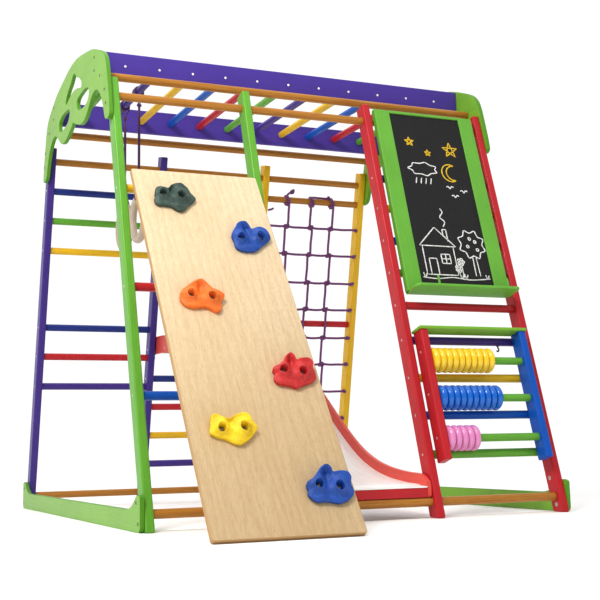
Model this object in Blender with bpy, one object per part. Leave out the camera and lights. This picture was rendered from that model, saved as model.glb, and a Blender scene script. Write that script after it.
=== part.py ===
"""Children's indoor climbing gym: four leaning ladders tied by rods, two arched
end plates, monkey bars with rings, climbing board, slide, chalkboard, abacus
and rope net.  Metres, +Z up, X along the length, the climbing side at -Y."""

import math

import bmesh
import bpy
from mathutils import Vector
from mathutils.geometry import tessellate_polygon

for _o in list(bpy.data.objects):
    bpy.data.objects.remove(_o, do_unlink=True)

# ---------------------------------------------------------------- dimensions
BAY = 0.4225                 # spacing of the posts along X
GAP = 0.0003                 # air between neighbouring solids
POST_W = 0.025               # post section along X
POST_D = 0.049               # post section across the ladder plane
POST_CHAMFER = 0.004
FRONT_LEAN = 0.2966          # y per z of the front ladders
REAR_LEAN = -0.2249          # y per z of the rear ladders
REAR_FOOT_Y = 3.6269 * BAY   # rear post centre line on the floor
FRONT_TOP_Z = 3.089 * BAY
REAR_TOP_Z = 3.086 * BAY
FRAME_SHIFT_Y = -0.55355     # front post foot, from the middle of the footprint
RUNG_R = 0.0125
RUNG_SIDES = 16
RUNG_SINK = 0.008            # how far a fixed rung enters its post
PLATE_T = 0.0125             # plywood of the arch and base plates
PLATE_IN = POST_W / 2 + GAP  # inner face of a plate, from its post's centre
PLATE_OUT = PLATE_IN + PLATE_T
ARCH_MID_Y = 1.885 * BAY

BAR_COUNT = 11
BAR_FIRST = 0.1711 * BAY
BAR_PITCH = 0.264 * BAY
BAR_Z = 3.30 * BAY
BEAM_FRONT_Y = 1.2136 * BAY
BEAM_REAR_Y = 2.6141 * BAY
BEAM_T = 0.019
BEAM_Z0, BEAM_Z1 = 3.20 * BAY, 3.40 * BAY

BOTTOM_ROD_Z = 0.1063 * BAY
FRONT_TOP_ROD_Z = 2.967 * BAY
REAR_TOP_ROD_Z = 2.969 * BAY
ARCH_ROD_FRONT = (1.0375 * BAY, 3.158 * BAY)
ARCH_ROD_REAR = (2.789 * BAY, 3.172 * BAY)

RED_RUNGS = (2.483, 2.236, 1.977, 1.726, 1.477, 1.218, 0.946, 0.683, 0.416)
PURPLE_RUNGS = (2.719, 2.467, 2.213, 1.555, 1.305, 1.049)
REAR_MID_RUNGS = (("green", 1.376), ("blue", 1.119), ("red", 0.866),
                  ("yellow", 0.610), ("purple", 0.356))
FRONT_LEFT_RUNGS = (("yellow", 2.252), ("red", 1.547), ("blue", 0.825))
NET_ROD_Z = 2.786
REAR_RIGHT_RUNG_Z = 1.645

CLIMB_FOOT_Y = -1.0795 * BAY # where the board's front plane meets the floor
CLIMB_LEAN = 0.678           # y per z of that plane
CLIMB_LEN = 2.852 * BAY
CLIMB_T = 0.015
CLIMB_X = (0.029 * BAY, 0.933 * BAY)
CLIMB_CORNER = 0.006
HOOK_T = 0.018
HOOK_X = (0.120 * BAY, 0.840 * BAY)
HOOK_SLOT_R = 0.0136
HOLD_H = 0.038
# colour, centre across, centre up the board, width, height, turn of the shape
HOLDS = (("green", 0.2790, 2.575, 0.296, 0.300, 0.4),
         ("blue_upper", 0.7640, 2.237, 0.276, 0.296, 1.9),
         ("orange", 0.3010, 1.698, 0.296, 0.276, 3.1),
         ("red", 0.7760, 1.120, 0.286, 0.276, 0.9),
         ("yellow", 0.2970, 0.701, 0.302, 0.250, 2.5),
         ("blue_lower", 0.7780, 0.333, 0.280, 0.254, 4.2))

SLIDE_RUNG_Z = 1.376 * BAY
SLIDE_X = (1.035 * BAY, 1.965 * BAY)
SLIDE_RAIL_T = 0.012
SLIDE_RAIL_H = 0.155 * BAY
SLIDE_SHEET_DROP = 0.071 * BAY
SLIDE_SHEET_T = 0.004
# top edge of a side rail, (y, z) in bays, from the foot to the hooked end
SLIDE_TOP = ((0.010, 0.236), (0.100, 0.288), (0.300, 0.303), (0.550, 0.333),
             (0.800, 0.392), (1.050, 0.497), (1.350, 0.682), (1.700, 0.925),
             (2.050, 1.155), (2.400, 1.335), (2.750, 1.445), (3.050, 1.485),
             (3.375, 1.492))

CHALK_X = (2.053 * BAY, 2.930 * BAY)
CHALK_Z = (1.560 * BAY, 3.040 * BAY)
CHALK_BACK = 0.0312 * BAY
CHALK_T = 0.0205
CHALK_STILE = (0.130 * BAY, 0.125 * BAY)
CHALK_EDGE = 0.010
CHALK_RECESS = 0.004
TRAY_X = (2.060 * BAY, 2.937 * BAY)
TRAY_REACH = 0.074
TRAY_T = 0.009

ABACUS_RAIL_X = (2.053 * BAY, 2.876 * BAY)
ABACUS_Z = (0.346 * BAY, 1.250 * BAY)
ABACUS_SHELF_X = (2.044 * BAY, 2.945 * BAY)
ABACUS_SHELF_REACH = 0.054
ABACUS_ROD_R = 0.0115
ABACUS_ROWS = (("yellow", 1.043, 10), ("blue", 0.776, 10), ("pink", 0.498, 5))
BEAD_R = 0.0375
BEAD_T = 0.0211
BEAD_BORE_R = 0.0121

NET_ROPE_R = 0.0048
NET_ROWS = (2.545, 2.295, 2.035, 1.785, 1.520, 1.270, 1.013, 0.760)
NET_COLUMNS = (2.236, 2.488, 2.697)

RING_BAR = 1                 # second monkey bar from the left
RING_Y = (1.743 * BAY, 2.157 * BAY)
RING_Z = 2.270 * BAY
RING_R = 0.0715
RING_TUBE_R = 0.0125
ROPE_R = 0.0028
ROPE_WAIST = 0.0032


# ------------------------------------------------------------------- helpers
def at(x, y, z):
    """Frame coordinates (first post at x = 0, its foot at y = 0) to world."""
    return Vector((x - 1.5 * BAY, y + FRAME_SHIFT_Y, z))


def front_y(z):
    return FRONT_LEAN * z


def rear_y(z):
    return REAR_FOOT_Y + REAR_LEAN * z


F_UP = Vector((0, FRONT_LEAN, 1)).normalized()      # up the front ladders
F_OUT = Vector((0, -1, FRONT_LEAN)).normalized()    # out of their climbing side
C_UP = Vector((0, CLIMB_LEAN, 1)).normalized()
C_OUT = Vector((0, -1, CLIMB_LEAN)).normalized()
X_AXIS = Vector((1, 0, 0))


def paint(name, rgb, rough=0.45, metal=0.0):
    m = bpy.data.materials.get(name)
    if m is None:
        m = bpy.data.materials.new(name)
        m.use_nodes = True
        b = m.node_tree.nodes["Principled BSDF"]
        b.inputs["Base Color"].default_value = (*rgb, 1.0)
        b.inputs["Roughness"].default_value = rough
        b.inputs["Metallic"].default_value = metal
    return m


RED = paint("red_paint", (0.62, 0.035, 0.045))
GREEN = paint("green_paint", (0.20, 0.55, 0.06))
BLUE = paint("blue_paint", (0.02, 0.13, 0.55))
YELLOW = paint("yellow_paint", (0.85, 0.62, 0.03))
PURPLE = paint("purple_paint", (0.10, 0.05, 0.34))
GOLD = paint("gold_paint", (0.62, 0.34, 0.05))
ORANGE = paint("orange_plastic", (0.90, 0.33, 0.02))
PINK = paint("pink_paint", (0.75, 0.32, 0.60))
WHITE = paint("white_board", (0.85, 0.86, 0.86))
PLY = paint("birch_ply", (0.80, 0.62, 0.36), 0.5)
ROPE = paint("purple_rope", (0.13, 0.05, 0.22), 0.9)
BEECH = paint("beech", (0.62, 0.42, 0.24), 0.4)
COLOURS = {"red": RED, "green": GREEN, "blue": BLUE, "yellow": YELLOW,
           "purple": PURPLE, "pink": PINK, "orange": ORANGE}


def link(name, mesh, mat, origin=None, parent=None):
    """Object from a mesh in world coordinates, its origin moved to origin."""
    o = Vector(origin) if origin is not None else Vector((0, 0, 0))
    for v in mesh.vertices:
        v.co -= o
    obj = bpy.data.objects.new(name, mesh)
    bpy.context.scene.collection.objects.link(obj)
    mesh.materials.clear()
    mesh.materials.append(mat)
    if parent is not None:
        obj.parent = parent
        obj.location = o - parent.location
    else:
        obj.location = o
    return obj


def pivot(name, place):
    e = bpy.data.objects.new(name, None)
    e.location = place
    bpy.context.scene.collection.objects.link(e)
    return e


def mesh_of(name, bm):
    bmesh.ops.recalc_face_normals(bm, faces=bm.faces)
    mesh = bpy.data.meshes.new(name)
    bm.to_mesh(mesh)
    bm.free()
    return mesh


def prism_bm(loops, origin, u, v, w, length):
    """Outline with holes, drawn in (u, v), pushed by length along w."""
    bm = bmesh.new()
    rings = []
    for loop in loops:
        near = [bm.verts.new(origin + u * a + v * b) for a, b in loop]
        far = [bm.verts.new(origin + u * a + v * b + w * length)
               for a, b in loop]
        rings.append((near, far))
    flat = [[Vector((a, b, 0)) for a, b in loop] for loop in loops]
    tris = tessellate_polygon(flat)
    near = [p for r in rings for p in r[0]]
    far = [p for r in rings for p in r[1]]
    for t in tris:
        bm.faces.new([near[i] for i in t])
        bm.faces.new([far[i] for i in reversed(t)])
    for near, far in rings:
        n = len(near)
        for i in range(n):
            j = (i + 1) % n
            bm.faces.new((near[i], near[j], far[j], far[i]))
    bmesh.ops.dissolve_limit(bm, angle_limit=0.0002, verts=bm.verts,
                             edges=bm.edges) if len(loops) == 1 else None
    return bm


def circle(r, n, ca=0.0, cb=0.0, phase=0.0):
    return [(ca + r * math.cos(phase + 2 * math.pi * i / n),
             cb + r * math.sin(phase + 2 * math.pi * i / n)) for i in range(n)]


def chamfered(a, b, c):
    """Rectangle a by b about its centre, its corners cut by c."""
    a, b = a / 2, b / 2
    return [(-a + c, -b), (a - c, -b), (a, -b + c), (a, b - c),
            (a - c, b), (-a + c, b), (-a, b - c), (-a, -b + c)]


def spline(points, per=3, closed=False):
    """Catmull-Rom curve through points, per steps on each span."""
    n = len(points)
    out = []
    spans = n if closed else n - 1
    for i in range(spans):
        if closed:
            p = [points[(i + k) % n] for k in (-1, 0, 1, 2)]
        else:
            p = [points[max(i - 1, 0)], points[i], points[i + 1],
                 points[min(i + 2, n - 1)]]
        for s in range(per):
            t = s / per
            q = []
            for k in range(2):
                a, b, c, d = (r[k] for r in p)
                q.append(0.5 * (2 * b + (c - a) * t
                                + (2 * a - 5 * b + 4 * c - d) * t * t
                                + (3 * b - a - 3 * c + d) * t ** 3))
            out.append(tuple(q))
    if not closed:
        out.append(tuple(points[-1]))
    return out


def rod_bm(p0, p1, r, n=RUNG_SIDES):
    w = (p1 - p0).normalized()
    u = w.orthogonal().normalized()
    if abs(w.x) > 0.9:
        u = Vector((0, 1, 0))
    elif abs(w.y) > 0.9:
        u = X_AXIS.copy()
    v = w.cross(u)
    return prism_bm([circle(r, n, phase=math.pi / n)], p0, u, v, w,
                    (p1 - p0).length)


def rod(name, p0, p1, r, mat, **kw):
    mesh = mesh_of(name, rod_bm(p0, p1, r))
    mesh.shade_smooth()
    mesh.set_sharp_from_angle(angle=0.7)
    kw.setdefault("origin", (p0 + p1) / 2)
    return link(name, mesh, mat, **kw)


def boolean(target, bm, how):
    """Join bm to target, or cut it away, and keep the result as its mesh."""
    other = link("operand", mesh_of("operand", bm), target.data.materials[0])
    m = target.modifiers.new("b", "BOOLEAN")
    m.operation, m.solver, m.object = how, "EXACT", other
    deps = bpy.context.evaluated_depsgraph_get()
    mat = target.data.materials[0]
    old = target.data
    new = bpy.data.meshes.new_from_object(target.evaluated_get(deps))
    target.modifiers.clear()
    target.data = new
    new.materials.clear()
    new.materials.append(mat)
    bpy.data.meshes.remove(old)
    bpy.data.objects.remove(other, do_unlink=True)
    return target


def post_bm(x, foot_y, lean, top_z):
    """Leaning post: foot cut level with the floor, top square and chamfered."""
    up = Vector((0, lean, 1)).normalized()
    across = Vector((0, 1, -lean)).normalized()
    section = chamfered(POST_W, POST_D, POST_CHAMFER)
    bm = bmesh.new()
    base = at(x, foot_y, 0.0)
    length = top_z / up.z
    rings = []
    foot = []
    for a, b in section:
        p = base + X_AXIS * a + across * b
        foot.append(bm.verts.new(p - up * (p.z / up.z)))
    rings.append(foot)
    shoulder = [bm.verts.new(base + X_AXIS * a + across * b
                             + up * (length - 0.005)) for a, b in section]
    rings.append(shoulder)
    ka = (POST_W / 2 - 0.004) / (POST_W / 2)
    kb = (POST_D / 2 - 0.004) / (POST_D / 2)
    crown = [bm.verts.new(base + X_AXIS * a * ka + across * b * kb
                          + up * length) for a, b in section]
    rings.append(crown)
    for lo, hi in zip(rings, rings[1:]):
        for i in range(8):
            j = (i + 1) % 8
            bm.faces.new((lo[i], lo[j], hi[j], hi[i]))
    bm.faces.new(list(reversed(foot)))
    bm.faces.new(crown)
    return bm


def front_post(name, k, mat):
    return link(name, mesh_of(name, post_bm(k * BAY, 0.0, FRONT_LEAN,
                                            FRONT_TOP_Z)), mat)


def rear_post(name, k, mat):
    return link(name, mesh_of(name, post_bm(k * BAY, REAR_FOOT_Y, REAR_LEAN,
                                            REAR_TOP_Z)), mat)


def bore(post, k, y, z):
    """Clearance hole along X for a rod that runs through the post."""
    boolean(post, rod_bm(at(k * BAY - 0.02, y, z), at(k * BAY + 0.02, y, z),
                         RUNG_R + GAP), "DIFFERENCE")


def rung_ends(k, sink=0.0):
    """x of both ends of a rung in bay k, from post face to post face."""
    return ((k - 1) * BAY + POST_W / 2 - sink + (GAP if not sink else 0),
            k * BAY - POST_W / 2 + sink - (GAP if not sink else 0))


# --------------------------------------------------------------- the ladders
green_left = front_post("green_post_left", 0, GREEN)
green_middle = front_post("green_post_middle", 1, GREEN)
bore(green_middle, 1, front_y(BOTTOM_ROD_Z), BOTTOM_ROD_Z)
bore(green_middle, 1, front_y(FRONT_TOP_ROD_Z), FRONT_TOP_ROD_Z)

yellow_inner = rear_post("yellow_post_inner", 2, YELLOW)
bore(yellow_inner, 2, rear_y(BOTTOM_ROD_Z), BOTTOM_ROD_Z)
bore(yellow_inner, 2, rear_y(REAR_TOP_ROD_Z), REAR_TOP_ROD_Z)
yellow_right = rear_post("yellow_post_right", 3, YELLOW)

# two posts and their rungs, glued into one ladder
red_ladder = front_post("red_ladder", 2, RED)
bore(red_ladder, 2, front_y(BOTTOM_ROD_Z), BOTTOM_ROD_Z)
bore(red_ladder, 2, front_y(FRONT_TOP_ROD_Z), FRONT_TOP_ROD_Z)
for z in RED_RUNGS:
    x0, x1 = rung_ends(3, RUNG_SINK)
    boolean(red_ladder, rod_bm(at(x0, front_y(z * BAY), z * BAY),
                               at(x1, front_y(z * BAY), z * BAY), RUNG_R),
            "UNION")
boolean(red_ladder, post_bm(3 * BAY, 0.0, FRONT_LEAN, FRONT_TOP_Z), "UNION")

purple_ladder = rear_post("purple_ladder", 1, PURPLE)
bore(purple_ladder, 1, rear_y(BOTTOM_ROD_Z), BOTTOM_ROD_Z)
bore(purple_ladder, 1, rear_y(REAR_TOP_ROD_Z), REAR_TOP_ROD_Z)
for z in PURPLE_RUNGS:
    x0, x1 = rung_ends(1, RUNG_SINK)
    boolean(purple_ladder, rod_bm(at(x0, rear_y(z * BAY), z * BAY),
                                  at(x1, rear_y(z * BAY), z * BAY), RUNG_R),
            "UNION")
boolean(purple_ladder, post_bm(0.0, REAR_FOOT_Y, REAR_LEAN, REAR_TOP_Z),
        "UNION")

# ------------------------------------------------------------ loose rungs
for colour, z in FRONT_LEFT_RUNGS:
    x0, x1 = rung_ends(1)
    rod("front_rung_" + colour, at(x0, front_y(z * BAY), z * BAY),
        at(x1, front_y(z * BAY), z * BAY), RUNG_R, COLOURS[colour])
for colour, z in REAR_MID_RUNGS:
    x0, x1 = rung_ends(2)
    rod("rear_rung_" + colour, at(x0, rear_y(z * BAY), z * BAY),
        at(x1, rear_y(z * BAY), z * BAY), RUNG_R, COLOURS[colour])
x0, x1 = rung_ends(3)
rod("net_rod", at(x0, rear_y(NET_ROD_Z * BAY), NET_ROD_Z * BAY),
    at(x1, rear_y(NET_ROD_Z * BAY), NET_ROD_Z * BAY), RUNG_R, GOLD)
rod("net_bay_rung_red",
    at(x0, rear_y(REAR_RIGHT_RUNG_Z * BAY), REAR_RIGHT_RUNG_Z * BAY),
    at(x1, rear_y(REAR_RIGHT_RUNG_Z * BAY), REAR_RIGHT_RUNG_Z * BAY),
    RUNG_R, RED)

# ------------------------------------------------- rods along the whole gym
X_LOW, X_HIGH = POST_W / 2 + GAP, 3 * BAY - POST_W / 2 - GAP
for name, y, z in (
        ("tie_rod_front_bottom", front_y(BOTTOM_ROD_Z), BOTTOM_ROD_Z),
        ("tie_rod_front_top", front_y(FRONT_TOP_ROD_Z), FRONT_TOP_ROD_Z),
        ("tie_rod_rear_bottom", rear_y(BOTTOM_ROD_Z), BOTTOM_ROD_Z),
        ("tie_rod_rear_top", rear_y(REAR_TOP_ROD_Z), REAR_TOP_ROD_Z)):
    rod(name, at(X_LOW, y, z), at(X_HIGH, y, z), RUNG_R, GOLD)
X_LOW, X_HIGH = -PLATE_IN + GAP, 3 * BAY + PLATE_IN - GAP
for name, (y, z) in (("arch_rod_front", ARCH_ROD_FRONT),
                     ("arch_rod_rear", ARCH_ROD_REAR)):
    rod(name, at(X_LOW, y, z), at(X_HIGH, y, z), RUNG_R, GOLD)

# ------------------------------------------------ monkey bars and their beams
for name, y in (("beam_front", BEAM_FRONT_Y), ("beam_rear", BEAM_REAR_Y)):
    outline = chamfered(BEAM_T, BEAM_Z1 - BEAM_Z0, 0.003)
    bm = prism_bm([outline], at(X_LOW, y, (BEAM_Z0 + BEAM_Z1) / 2),
                  Vector((0, 1, 0)), Vector((0, 0, 1)), X_AXIS, X_HIGH - X_LOW)
    link(name, mesh_of(name, bm), PURPLE,
         origin=at(1.5 * BAY, y, (BEAM_Z0 + BEAM_Z1) / 2))
BAR_COLOURS = ("green", "purple", "yellow", "blue", "red")
for i in range(BAR_COUNT):
    x = BAR_FIRST + i * BAR_PITCH
    rod("monkey_bar_%02d" % (i + 1),
        at(x, BEAM_FRONT_Y + BEAM_T / 2 + GAP, BAR_Z),
        at(x, BEAM_REAR_Y - BEAM_T / 2 - GAP, BAR_Z),
        RUNG_R, COLOURS[BAR_COLOURS[i % 5]])

# --------------------------------------------------------------- arch plates
# half of the outline, (distance from the middle, height) in bays: the crown
# down to the leg's foot, then back up the inside to the notch in the middle
ARCH_HALF = ((0.000, 3.526), (0.150, 3.518), (0.300, 3.495), (0.450, 3.468),
             (0.600, 3.437), (0.720, 3.397), (0.830, 3.354), (0.930, 3.307),
             (0.995, 3.248), (1.030, 3.180), (1.055, 3.102), (1.080, 3.014),
             (1.104, 2.927), (1.121, 2.849), (1.126, 2.805), (1.095, 2.781),
             (1.025, 2.786), (0.985, 2.815), (0.962, 2.863), (0.928, 2.927),
             (0.884, 2.985), (0.830, 3.036), (0.765, 3.073), (0.690, 3.087),
             (0.620, 3.073), (0.552, 3.039), (0.488, 2.997), (0.420, 2.962),
             (0.340, 2.944), (0.250, 2.949), (0.170, 2.968), (0.095, 2.993),
             (0.035, 3.013), (0.000, 3.030))
CENTRE_HOLE_HALF = ((0.000, 3.426), (0.100, 3.374), (0.190, 3.338),
                    (0.258, 3.292), (0.268, 3.256), (0.235, 3.247),
                    (0.165, 3.264), (0.075, 3.284), (0.000, 3.287))
LEAF_HOLE = ((0.490, 3.169), (0.395, 3.192), (0.270, 3.192), (0.160, 3.180),
             (0.125, 3.149), (0.163, 3.095), (0.230, 3.075), (0.320, 3.065),
             (0.425, 3.067), (0.495, 3.095), (0.512, 3.136))


def whole(half):
    """Mirror a half outline about the middle, as a closed list of points."""
    other = [(-d, z) for d, z in reversed(half[1:-1])]
    return list(half) + other


def arch(name, x):
    outer = spline(whole(ARCH_HALF), 2, closed=True)
    holes = [spline(whole(CENTRE_HOLE_HALF), 2, closed=True),
             spline(LEAF_HOLE, 2, closed=True),
             spline([(-d, z) for d, z in reversed(LEAF_HOLE)], 2, closed=True)]
    loops = [[(d * BAY, z * BAY) for d, z in loop] for loop in [outer] + holes]
    bm = prism_bm(loops, at(x, ARCH_MID_Y, 0.0), Vector((0, 1, 0)),
                  Vector((0, 0, 1)), X_AXIS, PLATE_T)
    return link(name, mesh_of(name, bm), GREEN,
                origin=at(x, ARCH_MID_Y, 3.2 * BAY))


arch("arch_plate_left", -PLATE_OUT)
arch("arch_plate_right", 3 * BAY + PLATE_IN)

# --------------------------------------------------------------- base plates
BASE_END_FRONT = -0.031 * BAY
BASE_END_REAR = 3.658 * BAY
BASE_ROUND = 0.016          # rounding of the lower corners
BASE_HOOK = ((0.000, 0.210), (0.030, 0.222), (0.070, 0.220), (0.118, 0.196),
             (0.176, 0.158), (0.262, 0.134), (0.360, 0.130))


def base(name, x):
    length = BASE_END_REAR - BASE_END_FRONT
    hook = [(a * BAY, b * BAY) for a, b in spline(BASE_HOOK, 2)]
    turn = [(BASE_ROUND * (1 - math.sin(math.radians(a))),
             BASE_ROUND * (1 - math.cos(math.radians(a))))
            for a in range(0, 91, 15)]
    outline = [(length - a, b) for a, b in turn]
    outline += [(length - a, b) for a, b in hook]
    outline += list(reversed(hook))
    outline += list(reversed(turn))
    bm = prism_bm([outline], at(x, BASE_END_FRONT, 0.0), Vector((0, 1, 0)),
                  Vector((0, 0, 1)), X_AXIS, PLATE_T)
    return link(name, mesh_of(name, bm), GREEN,
                origin=at(x, BASE_END_FRONT + length / 2, 0.0))


base("base_plate_left", -PLATE_OUT)
base("base_plate_right", 3 * BAY + PLATE_IN)

# ------------------------------------------------------------ climbing board
hook_z = FRONT_LEFT_RUNGS[0][1] * BAY
hook_at = at(0.5 * BAY, front_y(hook_z), hook_z)
climb_pivot = pivot("climbing_pivot", hook_at)
# foot of the board's front face: its back edge stands on the floor
climb_foot = at(CLIMB_X[0], CLIMB_FOOT_Y, 0.0) + C_UP * (CLIMB_T * CLIMB_LEAN)
width = CLIMB_X[1] - CLIMB_X[0]


def rounded_rect(w, h, r, n=4):
    pts = []
    for cx, cy, a0 in ((w - r, h - r, 0), (r, h - r, 90), (r, r, 180),
                       (w - r, r, 270)):
        for i in range(n + 1):
            a = math.radians(a0 + 90 * i / n)
            pts.append((cx + r * math.cos(a), cy + r * math.sin(a)))
    return pts


board_len = CLIMB_LEN - CLIMB_T * CLIMB_LEAN
outline = rounded_rect(width, board_len, CLIMB_CORNER)
bm = prism_bm([outline], climb_foot, X_AXIS, C_UP, -C_OUT, CLIMB_T)
board = link("climbing_board", mesh_of("climbing_board", bm), PLY)
# two cheeks on its back, each with a slot that drops over the top rung
ry, rz = front_y(hook_z), hook_z
top_back = climb_foot + C_UP * (board_len - 0.012) - C_OUT * (CLIMB_T - 0.004)
low_back = climb_foot + C_UP * (board_len - 0.130) - C_OUT * (CLIMB_T - 0.004)
frame0 = at(0, 0, 0)
ty, tz = top_back.y - frame0.y, top_back.z
ly, lz = low_back.y - frame0.y, low_back.z
slot = [(ry + HOOK_SLOT_R * math.cos(math.radians(a)),
         rz + HOOK_SLOT_R * math.sin(math.radians(a)))
        for a in range(180, -1, -20)]
cheek = ([(ly, lz), (ry - HOOK_SLOT_R - 0.012, rz - 0.034),
          (ry - HOOK_SLOT_R, rz - 0.030)] + slot
         + [(ry + HOOK_SLOT_R, rz - 0.022), (ry + HOOK_SLOT_R + 0.010, rz - 0.026),
            (ry + HOOK_SLOT_R + 0.018, rz - 0.016),
            (ry + HOOK_SLOT_R + 0.018, rz + 0.018),
            (ry + HOOK_SLOT_R + 0.006, tz)] + [(ty, tz)])
for x in HOOK_X:
    bm = prism_bm([cheek], at(x, 0, 0), Vector((0, 1, 0)), Vector((0, 0, 1)),
                  X_AXIS, HOOK_T)
    boolean(board, bm, "UNION")
for v in board.data.vertices:
    v.co -= hook_at
board.parent = climb_pivot
board.location = (0, 0, 0)


def hold_bm(cx, cs, w, h, turn):
    """Rock-like grip: an uneven outline drawn in toward a low dome."""
    bm = bmesh.new()
    n = 14
    c = climb_foot + X_AXIS * (cx * BAY - CLIMB_X[0]) + C_UP * (
        cs * BAY - CLIMB_T * CLIMB_LEAN) + C_OUT * GAP
    rings = []
    for level, size in ((0.0, 1.0), (0.30, 1.0), (0.62, 0.86), (0.86, 0.60),
                        (1.0, 0.30)):
        ring = []
        for i in range(n):
            a = 2 * math.pi * i / n
            r = 1 + 0.09 * math.sin(3 * a + turn) + 0.06 * math.sin(
                2 * a - turn) - 0.05
            skew = 0.06 * (level - 0.4)
            ring.append(bm.verts.new(
                c + X_AXIS * (w * BAY / 2 * (r * size * math.cos(a) + skew))
                + C_UP * (h * BAY / 2 * (r * size * math.sin(a) + skew))
                + C_OUT * (HOLD_H * level)))
        rings.append(ring)
    for lo, hi in zip(rings, rings[1:]):
        for i in range(n):
            j = (i + 1) % n
            bm.faces.new((lo[i], lo[j], hi[j], hi[i]))
    bm.faces.new(list(reversed(rings[0])))
    bm.faces.new(rings[-1])
    return bm


for colour, cx, cs, w, h, turn in HOLDS:
    name = "hold_" + colour
    mesh = mesh_of(name, hold_bm(cx, cs, w, h, turn))
    mesh.shade_smooth()
    centre = sum((v.co for v in mesh.vertices), Vector()) / len(mesh.vertices)
    link(name, mesh, COLOURS[colour.split("_")[0]], origin=centre,
         parent=climb_pivot)

# --------------------------------------------------------------------- slide
slide_at = at(1.5 * BAY, rear_y(SLIDE_RUNG_Z), SLIDE_RUNG_Z)
slide_pivot = pivot("slide_pivot", slide_at)
top_edge = [(y * BAY, z * BAY) for y, z in spline(SLIDE_TOP, 2)]


def offset(curve, drop):
    """The curve moved down by drop, square to itself."""
    out = []
    for i, p in enumerate(curve):
        a, b = curve[max(i - 1, 0)], curve[min(i + 1, len(curve) - 1)]
        t = Vector((b[0] - a[0], b[1] - a[1])).normalized()
        out.append((p[0] + t.y * drop, p[1] - t.x * drop))
    return out


sy, sz = rear_y(SLIDE_RUNG_Z), SLIDE_RUNG_Z
low_edge = [p for p in offset(top_edge, SLIDE_RAIL_H)
            if 0.30 * BAY < p[0] < sy - 0.045]
foot_z = BOTTOM_ROD_Z + RUNG_R + GAP
rear_z = low_edge[-1][1]
slot = [(sy + HOOK_SLOT_R * math.cos(math.radians(a)),
         sz + HOOK_SLOT_R * math.sin(math.radians(a)))
        for a in range(0, 181, 20)]
rail = (top_edge[1:-1] + [(3.372 * BAY, 1.492 * BAY),
                          (3.392 * BAY, 1.470 * BAY),
                          (3.392 * BAY, rear_z + 0.006),
                          (3.378 * BAY, rear_z),
                          (sy + HOOK_SLOT_R, rear_z)] + slot
        + [(sy - HOOK_SLOT_R, rear_z)] + list(reversed(low_edge))
        + [(0.150 * BAY, foot_z), (0.018 * BAY, foot_z),
           (0.006 * BAY, foot_z + 0.006), (0.006 * BAY, 0.215 * BAY),
           (0.020 * BAY, 0.246 * BAY)])
for name, x in (("slide_rail_left", SLIDE_X[0]),
                ("slide_rail_right", SLIDE_X[1] - SLIDE_RAIL_T)):
    bm = prism_bm([rail], at(x, 0, 0), Vector((0, 1, 0)), Vector((0, 0, 1)),
                  X_AXIS, SLIDE_RAIL_T)
    link(name, mesh_of(name, bm), RED, origin=slide_at, parent=slide_pivot)
inner = (SLIDE_X[0] + SLIDE_RAIL_T + GAP, SLIDE_X[1] - SLIDE_RAIL_T - GAP)
upper = [(0.012 * BAY, 0.2105 * BAY)] + [
    p for p in offset(top_edge, SLIDE_SHEET_DROP) if p[0] > 0.10 * BAY]
lower = offset(upper, SLIDE_SHEET_T)
bm = prism_bm([upper + list(reversed(lower))], at(inner[0], 0, 0),
              Vector((0, 1, 0)), Vector((0, 0, 1)), X_AXIS,
              inner[1] - inner[0])
link("slide_sheet", mesh_of("slide_sheet", bm), WHITE, origin=slide_at,
     parent=slide_pivot)
toe = [(0.012 * BAY, foot_z), (0.046 * BAY, foot_z),
       (0.046 * BAY, 0.2105 * BAY - SLIDE_SHEET_T - 3 * GAP),
       (0.012 * BAY, 0.2105 * BAY - SLIDE_SHEET_T - 3 * GAP)]
bm = prism_bm([toe], at(inner[0], 0, 0), Vector((0, 1, 0)),
              Vector((0, 0, 1)), X_AXIS, inner[1] - inner[0])
link("slide_toe_board", mesh_of("slide_toe_board", bm), RED, origin=slide_at,
     parent=slide_pivot)


# ---------------------------------------------------------------- chalkboard
def on_front(x, z, out):
    """Point x along, at height z in the front ladders' plane, out from it."""
    return at(x, front_y(z), z) + F_OUT * out


def slope_box(x0, x1, z0, z1, out0, out1):
    """Box lying on the front ladders' plane; z measured in the plane."""
    bm = bmesh.new()
    corners = []
    for out in (out0, out1):
        for z in (z0, z1):
            for x in (x0, x1):
                corners.append(bm.verts.new(on_front(x, z, out)))
    for f in ((0, 1, 3, 2), (4, 6, 7, 5), (0, 4, 5, 1), (2, 3, 7, 6),
              (0, 2, 6, 4), (1, 5, 7, 3)):
        bm.faces.new([corners[i] for i in f])
    return bm


front = CHALK_BACK + CHALK_T
chalk = link("chalkboard", mesh_of("chalkboard", slope_box(
    CHALK_X[0], CHALK_X[1], CHALK_Z[0], CHALK_Z[1], CHALK_BACK, front)), GREEN)
boolean(chalk, slope_box(CHALK_X[0] + CHALK_STILE[0],
                         CHALK_X[1] - CHALK_STILE[1],
                         CHALK_Z[0] + CHALK_EDGE, CHALK_Z[1] - CHALK_EDGE,
                         front - CHALK_RECESS, front + 0.02), "DIFFERENCE")
tray_top = CHALK_Z[0] + 0.004
tray = slope_box(TRAY_X[0], TRAY_X[1], tray_top - TRAY_T / F_UP.z, tray_top,
                 CHALK_BACK, CHALK_BACK + TRAY_REACH)
boolean(chalk, tray, "UNION")

# -------------------------------------------------------------------- abacus
rail_in = 0.0312 * BAY
post = [(a, b) for a, b in chamfered(POST_W, POST_D, 0.003)]


def abacus_rail(x):
    low = on_front(x + POST_W / 2, ABACUS_Z[0], rail_in + POST_D / 2)
    high = on_front(x + POST_W / 2, ABACUS_Z[1], rail_in + POST_D / 2)
    return prism_bm([post], low, X_AXIS, F_OUT, F_UP,
                    (high - low).length + 0.004)


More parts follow.
